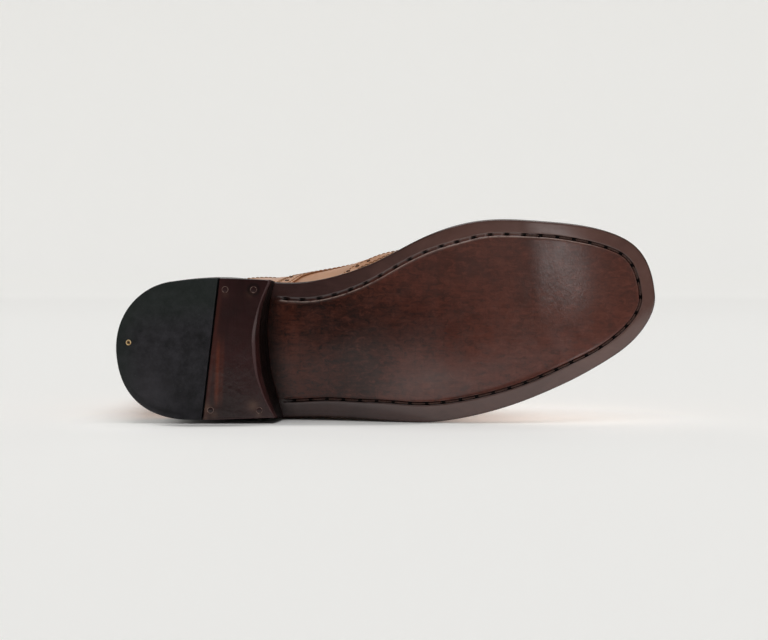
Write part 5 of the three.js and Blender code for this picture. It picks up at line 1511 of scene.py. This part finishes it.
def offset_curve(s, w, side, dist, inward, t=0.0):
    """The curve moved over the surface by dist, to the side where inward(s, w) grows."""
    P = upper_point(s, w, side, t)
    tan = np.gradient(P, axis=0)
    tan /= np.linalg.norm(tan, axis=1, keepdims=True) + 1e-9
    n = normal(s, w, side)
    across = np.cross(n, tan)
    s1, w1 = surface_walk(s, w, side, t, across * 1.0)
    sign = np.where(inward(s1, w1) > inward(s, w), 1.0, -1.0)
    sign = np.where(np.median(sign) > 0, 1.0, -1.0) * np.ones_like(sign)
    return surface_walk(s, w, side, t, across * (dist * sign)[:, None])


def at(t, s, w):
    return t(s, w) if callable(t) else t


def resample(s, w, side, pitch, t, start=0.0, end=0.0):
    """Evenly spaced places along a curve: s, w, points, tangents, normals."""
    if len(s) < 3:
        return None
    P = upper_point(s, w, side, at(t, s, w))
    d = np.concatenate([[0], np.cumsum(np.linalg.norm(np.diff(P, axis=0), axis=1))])
    total = d[-1] - start - end
    if total <= pitch:
        return None
    n = max(2, int(round(total / pitch)) + 1)
    q = start + np.linspace(0, total, n)
    s2, w2 = np.interp(q, d, s), np.interp(q, d, w)
    P2 = upper_point(s2, w2, side, at(t, s2, w2))
    T = np.gradient(P2, axis=0)
    T /= np.linalg.norm(T, axis=1, keepdims=True) + 1e-9
    return s2, w2, P2, T, normal(s2, w2, side)


STITCH = Pile()
HOLES = Pile()


def sew(s, w, side, t, pitch=2.7, r=0.24, start=1.0, end=1.0):
    """A row of stitches along a curve on the surface."""
    q = resample(s, w, side, pitch, t, start, end)
    if q is None:
        return
    _, _, P, T, N = q
    L = pitch * 0.80
    for p, tt, n in zip(P, T, N):
        a, b, c = frame_of(n, tt)
        rows_ = []
        for u, h in ((-0.5, -0.12), (-0.36, 0.10), (0, 0.17), (0.36, 0.10), (0.5, -0.12)):
            rows_.append(p + a * (u * L) + c * h)
        rows_ = np.array(rows_)
        sides = 5
        ang = np.linspace(0, 2 * np.pi, sides, endpoint=False)
        rr = r * np.array([0.7, 1, 1, 1, 0.7])
        ring = rows_[:, None, :] + rr[:, None, None] * (np.cos(ang)[None, :, None] * b + np.sin(ang)[None, :, None] * c)
        f = [tuple(x) for x in grid_faces(5, sides, 0, wrap=True)]
        f += [tuple(range(sides - 1, -1, -1)), tuple(range(4 * sides, 5 * sides))]
        STITCH.add(ring.reshape(-1, 3), f)


def punch(p, n, tt, r, seg=12, lift=0.09):
    """A perforation: a shallow bowl with a soft rim, coloured dark as painted shade for the inside of the punched hole.
    """
    a, b, c = frame_of(n, tt)
    ang = np.linspace(0, 2 * np.pi, seg, endpoint=False)
    circ = np.cos(ang)[:, None] * a + np.sin(ang)[:, None] * b
    co = np.vstack([p - c * 0.25 + circ * r * 1.0, p + c * lift + circ * r * 1.0, p + c * (lift * 0.6) + circ * r * 0.86, p - c * 0.05 + circ * r * 0.5])
    f = [tuple(x) for x in grid_faces(4, seg, 0, wrap=True)]
    f += [tuple(range(seg - 1, -1, -1)), tuple(range(3 * seg, 4 * seg))]
    HOLES.add(co, f)


def brogue_row(s, w, side, t, big=1.05, small=0.5, pitch=7.6, start=4.0, end=4.0):
    """Large holes with a pair of small ones between."""
    q = resample(s, w, side, pitch, t, start, end)
    if q is None:
        return
    s2, w2, P, T, N = q
    for p, tt, n in zip(P, T, N):
        punch(p, n, tt, big)
    sm, wm = (s2[:-1] + s2[1:]) / 2, (w2[:-1] + w2[1:]) / 2
    Pm = upper_point(sm, wm, side, at(t, sm, wm))
    Nm = normal(sm, wm, side)
    Tm = P[1:] - P[:-1]
    for p, tt, n in zip(Pm, Tm, Nm):
        a, b, c = frame_of(n, tt)
        for k in (-1, 1):
            punch(p + b * 1.35 * k, n, tt, small, 8)


def wing_t(s, w):
    return 0.0 * (s + w)


def facing_t(s, w):
    return quarter_t(s, w) - 0.45


COUNTER_S = 5.93                 # where the counter starts at the sole


def counter_w(s):
    return 0.37 * np.sin(np.pi * clamp((s - COUNTER_S + 0.02) / (12.08 - COUNTER_S), 0, 1)) ** 0.75


def counter_t(s, w):
    return quarter_t(s, w) - 0.12 - 0.43 * smooth(s, 6.4, 7.6)


def strip_columns(side, start_s, start_w, across, dists, n, drop=0.6):
    """Curves beside a line, cut off at the collar and made of n even steps."""
    out_s, out_w = [], []
    for d in dists:
        s1, w1 = surface_walk(start_s, start_w, side, 0.0, across * d)
        P = upper_point(s1, w1, side)
        over = np.where(P[:, 2] > collar_z(P[:, 0]) - drop)[0]
        last = over[0] if len(over) else len(s1) - 1
        arc = np.concatenate([[0], np.cumsum(np.linalg.norm(np.diff(P[:last + 1], axis=0), axis=1))])
        q = np.linspace(0, arc[-1], n)
        out_s.append(np.interp(q, arc, s1[:last + 1]))
        out_w.append(np.interp(q, arc, w1[:last + 1]))
    return np.array(out_s).T, np.array(out_w).T


def build_panels():
    """Wing cap, quarters, counter, facings and backstay, with their sewing and two stitch rows below the collar."""
    wing, quarter, trim = Pile(), Pile(), Pile()
    for side in (-1, 1):
        # wing cap, from the toe to its M-shaped edge
        v = np.linspace(0, 1, 74)
        a = np.linspace(0, 1, 120)
        W = np.broadcast_to(v[None, :] ** 0.9, (len(a), len(v))).copy()
        S = a[:, None] ** 0.95 * WING_S(W[0])[None, :]
        patch(wing, side, S, W, wing_t(S, W), 0.8, {"s0": "none", "s1": "round", "w0": "plain", "w1": "none"})
        es, ew = edge_curve("wing", side)
        inward = lambda s, w: WING_S(w) - s
        for d in (1.4, 8.4, 9.9):
            s1, w1 = offset_curve(es, ew, side, d, inward, 0.0)
            sew(s1, w1, side, wing_t, end=0.3)
        s1, w1 = offset_curve(es, ew, side, 4.9, inward, 0.0)
        far = (w1 > 0.20) | (side > 0)
        brogue_row(s1[far], w1[far], side, wing_t, start=3.0, end=0.0)
        # quarters, from their edge back to the heel seam and up to the collar
        v = np.linspace(0, 1, 64)
        a = np.concatenate([np.linspace(0, 0.10, 10), np.linspace(0.10, 1, 120)[1:]])
        col = w_of(7.0, v)
        end = s_collar(lambda m: col * w_edge(m, side), side, 0.3)
        S, W = [], []
        for k in a:
            w_now = col.copy()
            for _ in range(7):
                s = QUARTER_S(w_now) + (end - QUARTER_S(w_now)) * k
                w_now = col * w_edge(s, side)
            S.append(s)
            W.append(w_now)
        S, W = np.array(S), np.array(W)
        patch(quarter, side, S, W, quarter_t(S, W), 0.85, {"s0": "round", "s1": "round", "w0": "plain", "w1": "round"}, bulge=0.3)
        es, ew = edge_curve("quarter", side)
        inward = lambda s, w: s - QUARTER_S(w)
        for d in (1.3, 7.6, 9.1):
            s1, w1 = offset_curve(es, ew, side, d, inward, 0.0)
            keep = w1 < w_edge(s1, side) - 0.01
            sew(s1[keep], w1[keep], side, quarter_t)
        s1, w1 = offset_curve(es, ew, side, 4.4, inward, 0.0)
        keep = (w1 < w_edge(s1, side) - 0.015) & ((w1 > 0.24) | (side > 0))
        brogue_row(s1[keep], w1[keep], side, quarter_t)
        # facing along the throat
        ss = np.linspace(2.1, 15.0, 260)
        we = w_edge(ss, side)
        P = upper_point(ss, we, side)
        tanv = np.gradient(P, axis=0)
        tanv /= np.linalg.norm(tanv, axis=1, keepdims=True)
        across = np.cross(normal(ss, we - 0.01, side), tanv)
        _, w_try = surface_walk(ss, we, side, 0.0, across * 3.0)
        if np.median(w_try - we) > 0:
            across = -across
        width = 18.0
        S, W = strip_columns(side, ss, we, across, np.concatenate([[0.25, 1.0], np.linspace(2, width, 14)]), 150)
        patch(trim, side, S, W, facing_t(S, W), 0.55, {"s0": "round", "s1": "round", "w0": "round", "w1": "round"}, bulge=0.2)
        S, W = strip_columns(side, ss, we, across, [2.0, width - 6.6, width - 1.3], 200, 4.0)
        for k in range(3):
            sew(S[4:, k], W[4:, k], side, facing_t)
        S, W = strip_columns(side, ss, we, across, [width - 3.9], 200, 5.0)
        brogue_row(S[:, 0], W[:, 0], side, facing_t, big=0.8, small=0.4, pitch=6.0)
        # counter at the heel
        a = np.linspace(0.0, 1.0, 110)
        sc = COUNTER_S + (12.05 - COUNTER_S) * a
        frac = np.linspace(0, 1, 26)
        S = np.broadcast_to(sc[:, None], (len(sc), len(frac))).copy()
        W = counter_w(sc)[:, None] * frac[None, :]
        patch(trim, side, S, W, counter_t(S, W), 0.8, {"s0": "plain", "s1": "plain", "w0": "plain", "w1": "round"}, bulge=0.25)
        inward = lambda s, w: counter_w(s) - w
        es, ew = sc[1:-1], counter_w(sc[1:-1])
        for d in (1.3, 7.4):
            s1, w1 = offset_curve(es, ew, side, d, inward, -0.6)
            keep = (w1 > 0.004) & (w1 < counter_w(s1))
            sew(s1[keep], w1[keep], side, counter_t)
        s1, w1 = offset_curve(es, ew, side, 4.3, inward, -0.6)
        keep = (w1 > 0.012) & (w1 < counter_w(s1))
        brogue_row(s1[keep], w1[keep], side, counter_t, start=5.0, end=5.0)
        # narrow strip up the back seam
        sb = np.linspace(11.9, 15.6, 60)
        Wp = np.linspace(0, 0.35, 60)
        wb = []
        for q in sb:
            P = upper_point(np.full(60, q), Wp, side)
            arc = np.concatenate([[0], np.cumsum(np.linalg.norm(np.diff(P, axis=0), axis=1))])
            wb.append(np.interp(7.5, arc, Wp))
        wb = np.array(wb)
        P = upper_point(sb, wb, side)
        keep = P[:, 2] < collar_z(P[:, 0]) - 0.5
        sb, wb = sb[keep], wb[keep]
        S = np.broadcast_to(sb[:, None], (len(sb), 8)).copy()
        W = wb[:, None] * np.linspace(0, 1, 8)[None, :]
        patch(trim, side, S, W, -0.55, 0.7, {"s0": "plain", "s1": "plain", "w0": "none", "w1": "round"}, bulge=0.2)
        sew(sb[1:], wb[1:] * 0.80, side, -0.55)
        # two rows below the collar's folded edge
        col = np.linspace(0.02, 0.995, 120)
        for drop in (3.2, 6.4):
            sc_ = s_collar(lambda m: col * w_edge(m, side), side, drop)
            wc_ = col * w_edge(sc_, side)
            sew(sc_, wc_, side, lambda s, w: quarter_t(s, w) - 0.02)
    # the holes that show in the strip over the arch
    for s_, w_, t_, r_ in ((5.50, 0.095, quarter_t, 1.25), (5.575, 0.180, quarter_t, 1.0), (4.02, 0.070, wing_t, 1.15), (3.825, 0.118, wing_t, 1.2), (3.55, 0.150, wing_t, 1.0)):
        p = upper_point(s_, w_, -1, t_(s_, w_))
        n = normal(np.array([s_]), np.array([w_]), -1)[0]
        punch(p, n, np.array([1.0, 0.1, 0.3]), r_, lift=0.32)
    # medallion on the toe: a plain rosette of holes
    spots = [(0.0, 0.0, 1.25)]
    for r_, n_, size in ((4.2, 6, 0.7), (8.0, 8, 1.1), (11.6, 16, 0.55)):
        spots += [(r_ * math.cos(2 * math.pi * k / n_), r_ * math.sin(2 * math.pi * k / n_), size) for k in range(n_)]
    for dx, dy, size in spots:
        x, y = 266.0 + dx, ridge_shift(266.0) + dy
        sd = 1 if y >= ridge_shift(x) else -1
        s_at = float(1 - 0) if x < 240 else float(np.arccos(clamp(1 - (UPPER_TIP - x) / (UPPER_TIP - 240.0), -1, 1)) * 2 / np.pi)
        lo, hi = 0.3, 0.9999
        for _ in range(40):
            m = (lo + hi) / 2
            if sd * (float(upper_point(s_at, m, sd)[1]) - y) > 0:
                lo = m
            else:
                hi = m
        w_at = (lo + hi) / 2
        p = upper_point(s_at, w_at, sd, wing_t(s_at, w_at))
        n = normal(np.array([s_at]), np.array([min(w_at, 0.99)]), sd)[0]
        punch(p, n, np.array([1.0, 0.1, 0.0]), size)
    for pile, name in ((wing, "wing_cap"), (quarter, "quarters"), (trim, "facings_counter_backstay")):
        o = pile.make(name, [TAN_OVER], weld=4e-6, sharp=60)


build_shell()
build_panels()
o = STITCH.make("upper_stitching", [THREAD], weld=1e-7, fix=False)
o = HOLES.make("perforations", [HOLE_MAT], weld=1e-7, fix=False)


def y_point(sv, y, t):
    """Surface point of section s whose y is given, near the front."""
    sv, y, t = np.broadcast_arrays(np.asarray(sv, float), np.asarray(y, float), np.asarray(t, float))
    side = np.where(y >= mid_y(sv, t), 1.0, -1.0)
    lo, hi = np.full(sv.shape, 0.45), np.ones(sv.shape)
    for _ in range(34):
        m = (lo + hi) / 2
        up = side * (upper_point(sv, m, side, t, soft=False)[..., 1] - y) > 0
        lo, hi = np.where(up, m, lo), np.where(up, hi, m)
    w = (lo + hi) / 2
    p = upper_point(sv, w, side, t)
    return p, w, side


def slab(out, inn, name, mats, bulge=0.6):
    """Closed plate between two point grids, edges rounded."""
    n, m = out.shape[:2]
    co = [out.reshape(-1, 3), inn.reshape(-1, 3)]
    off = n * m
    f = [grid_faces(n, m), grid_faces(n, m, off)[:, ::-1]]
    start = 2 * off
    g = np.arange(off).reshape(n, m)
    ring = np.concatenate([g[0, :-1], g[:-1, -1], g[-1, :0:-1], g[:0:-1, 0]])
    inner = np.concatenate([g[1, 1:-1][:1], g[1, 1:-1], g[1:-1, -2], g[1:-1, -2][-1:], g[-2, -2:0:-1][:1], g[-2, -2:0:-1], g[-2:0:-1, 1], g[1:2, 1]])
    o_, i_ = co[0][ring], co[1][ring]
    centre = (np.roll(o_, 1, 0) + np.roll(o_, -1, 0)) / 2
    mid = out.reshape(-1, 3).mean(0)
    ids = [ring]
    tang = np.roll(o_, -1, 0) - np.roll(o_, 1, 0)
    tang /= np.linalg.norm(tang, axis=1, keepdims=True)
    thick = (o_ - i_) / (np.linalg.norm(o_ - i_, axis=1, keepdims=True) + 1e-9)
    outw = np.cross(tang, thick)
    if np.mean(np.sum(outw * (o_ - mid), -1)) < 0:
        outw = -outw
    for r in rim(o_, i_, outw, 3, bulge):
        co.append(r)
        ids.append(start + np.arange(len(r)))
        start += len(r)
    ids.append(ring + off)
    ids = np.array(ids)
    k = len(ring)
    nxt = (np.arange(k) + 1) % k
    f.append(np.stack([ids[:-1], ids[:-1][:, nxt], ids[1:][:, nxt], ids[1:]], -1).reshape(-1, 4))
    return make(name, np.vstack(co), np.vstack(f), mats, weld=2e-6, sharp=60)


def build_tongue():
    k = np.linspace(0, 1, 90)[:, None]
    sv = 1.72 + (13.4 - 1.72) * k
    end, start = rnd((1 - k) * 100, 10, 2.0), rnd(k * 100, 8, 2.0)
    half = (17 + 9 * smooth(k, 0, 0.8)) * (0.72 + 0.28 * end) * (0.8 + 0.2 * start)
    j = np.sin((np.linspace(0, 1, 26) - 0.5) * np.pi)[None, :]
    grids = []
    for t in (WALL + 0.8, WALL + 0.8 + 2.0):
        y = mid_y(sv, t) + half * j * (1 if t < 3.5 else 0.985)
        p, _, _ = y_point(sv + 0 * j, y, t)
        p = p.copy()
        p[..., 1] = y
        grids.append(p)
    o = slab(grids[0], grids[1], "tongue_leather", [TAN_IN])
    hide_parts("tongue")


def build_insole():
    n = 150
    u = np.linspace(0, 1, n)
    xs = UPPER_BACK + (UPPER_TIP - UPPER_BACK) * (0.5 - 0.5 * np.cos(np.pi * u))
    half = lambda x, side: foot_half[side](x) * rnd(x - UPPER_BACK, 36, 2.04) * rnd(UPPER_TIP - x, TOE_ROUND - 2, 2.3)
    loop = loop_of(xs, half)
    nr = loop_normals(loop)
    d = 3.1 + 2.4 * smooth(loop[:, 0], 262, 292)
    zi = lambda x: foot_z(x) + WALL + GAP
    rings = []
    for dd, z in ((0.5, 0.0), (0.0, 0.5), (0.0, 2.0), (0.5, 2.5)):
        p = loop + nr * (d + dd)[:, None]
        rings.append(np.column_stack([p, zi(p[:, 0]) + z]))
    m = len(loop)
    co = np.vstack(rings)
    faces = [grid_faces(4, m, 0, wrap=True)]
    med_i = np.concatenate([[0], np.arange(m - 1, n - 1, -1), [n - 1]])
    for r in (0, 3):
        a, b = rings[r][np.arange(n)], rings[r][med_i]
        f = np.linspace(0, 1, 12)[1:-1]
        p = a[:, None, :] * (1 - f)[None, :, None] + b[:, None, :] * f[None, :, None]
        idx = np.empty((n, 12), int)
        idx[:, 1:-1] = len(co) + np.arange(n * 10).reshape(n, 10)
        idx[:, 0], idx[:, -1] = r * m + np.arange(n), r * m + med_i
        faces.append(np.stack([idx[:-1, :-1], idx[:-1, 1:], idx[1:, 1:], idx[1:, :-1]], -1).reshape(-1, 4))
        co = np.vstack([co, p.reshape(-1, 3)])
    o = make("insole_sheet", co, np.vstack(faces), [INSOLE_MAT], weld=1e-6, sharp=50)
    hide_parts("insole")


def eyelet_places():
    out = []
    for sv in EYELET_AT:
        pair = {}
        for side in (-1, 1):
            y = mid_y(sv) + side * (throat_half(sv) + 7.5)
            p, w, sd = y_point(sv, y, 0.0)
            n = normal(np.array([sv]), np.array([float(w)]), side)[0]
            pair[side] = dict(s=float(sv), y=float(y), w=float(w), p=p, n=n, up=-float(facing_t(np.array(sv), np.array(float(w)))))
        out.append(pair)
    return out


def build_eyelets_and_laces():
    pile = Pile()
    places = eyelet_places()
    for pair in places:
        for side in (-1, 1):
            e = pair[side]
            n = e["n"] / np.linalg.norm(e["n"])
            t, b, n = frame_of(n, np.array([1.0, 0.2, 0.1]))
            z = e["up"] + 0.02
            prof = [(1.9, -1.8), (2.15, -1.8), (2.2, z - 0.1), (3.5, z), (3.58, z + 0.18), (3.4, z + 0.45), (2.95, z + 0.62), (2.45, z + 0.56), (2.05, z + 0.25), (1.9, z - 0.3)]
            seg = 40
            ang = np.linspace(0, 2 * np.pi, seg, endpoint=False)
            circ = np.cos(ang)[:, None] * t + np.sin(ang)[:, None] * b
            rings = np.vstack([e["p"] + n * h + circ * r for r, h in prof])
            k = len(prof)
            i = np.arange(k)[:, None]
            j = np.arange(seg)[None, :]
            a_, b_ = i * seg + j, i * seg + (j + 1) % seg
            c_, d_ = ((i + 1) % k) * seg + (j + 1) % seg, ((i + 1) % k) * seg + j
            pile.add(rings, np.stack([a_, b_, c_, d_], -1).reshape(-1, 4))
    o = pile.make("eyelets", [EYELET_MAT], sharp=50, weld=1e-7)
    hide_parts(*[f"eyelet_{a}_{k}" for a in ("medial", "lateral") for k in range(1, 7)])
    # laces: a bar at the bottom, then crossings; each run comes out of one eyelet and goes into the next
    lace = Pile()

    def run(a, b, over):
        k = np.linspace(0, 1, 25)
        sv = a["s"] + (b["s"] - a["s"]) * k
        y = a["y"] + (b["y"] - a["y"]) * k
        p, w, sd = y_point(sv, y, 0.0)
        nn = normal(sv, np.minimum(w, 0.985), 1.0) * 0.5 + normal(sv, np.minimum(w, 0.985), -1.0) * 0.5
        own = normal(sv, np.minimum(w, 0.995), np.where(sd > 0, 1.0, -1.0))
        ease = smooth(np.abs(k - 0.5), 0.1, 0.32)[:, None]
        nn = nn / np.linalg.norm(nn, axis=1, keepdims=True) * (1 - ease) + own * ease
        nn /= np.linalg.norm(nn, axis=1, keepdims=True)
        h = 2.9 + over * np.exp(-((k - 0.5) / 0.16) ** 2)
        path = p + nn * h[:, None]
        a_end = [a["p"] - a["n"] * 1.5, a["p"] + a["n"] * 0.4, a["p"] + a["n"] * 1.9 + (path[2] - path[0]) * 0.15]
        b_end = [b["p"] + b["n"] * 1.9 + (path[-3] - path[-1]) * 0.15, b["p"] + b["n"] * 0.4, b["p"] - b["n"] * 1.5]
        pts = np.vstack([a_end, path[2:-2], b_end])
        # even, smoothed resampling
        for _ in range(2):
            arc = np.concatenate([[0], np.cumsum(np.linalg.norm(np.diff(pts, axis=0), axis=1))])
            q = np.linspace(0, arc[-1], 64)
            pts = np.column_stack([np.interp(q, arc, pts[:, c]) for c in range(3)])
            soft = pts.copy()
            for _ in range(3):
                soft[1:-1] = (soft[:-2] + 2 * soft[1:-1] + soft[2:]) / 4
            pts = soft
        sides = 16
        t = np.gradient(pts, axis=0)
        t /= np.linalg.norm(t, axis=1, keepdims=True)
        u = np.cross(t, np.array([0.0, 1.0, 0.0]) if abs(t[32, 1]) < 0.9 else np.array([1.0, 0.0, 1.0]))
        u /= np.linalg.norm(u, axis=1, keepdims=True)
        v = np.cross(u, t)
        ang = np.linspace(0, 2 * np.pi, sides, endpoint=False)
        arc = np.concatenate([[0], np.cumsum(np.linalg.norm(np.diff(pts, axis=0), axis=1))])
        braid = 1 + 0.06 * np.sin(ang[None, :] * 3 + arc[:, None] * 2.2) * np.sin(ang[None, :] * 3 - arc[:, None] * 2.2)
        r = 1.2 * braid
        ring = pts[:, None, :] + r[..., None] * (np.cos(ang)[None, :, None] * u[:, None, :] + np.sin(ang)[None, :, None] * v[:, None, :])
        f = [tuple(q) for q in grid_faces(64, sides, 0, wrap=True)] + [tuple(range(sides - 1, -1, -1)), tuple(range(63 * sides, 64 * sides))]
        lace.add(ring.reshape(-1, 3), f)

    run(places[0][-1], places[0][1], 0.0)
    for k in range(5):
        run(places[k][-1], places[k + 1][1], 0.9 if k % 2 else -0.6)
        run(places[k][1], places[k + 1][-1], -0.6 if k % 2 else 0.9)
    o = lace.make("lace_runs", [LACE_MAT], weld=1e-7, sharp=60)
    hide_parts("laces")


TAN_IN = tan_material("tongue_tan", lin(178, 130, 92), lin(166, 114, 78), lin(120, 74, 44), None, 0.9, (0.42, 0.55))
build_tongue()
build_insole()
build_eyelets_and_laces()
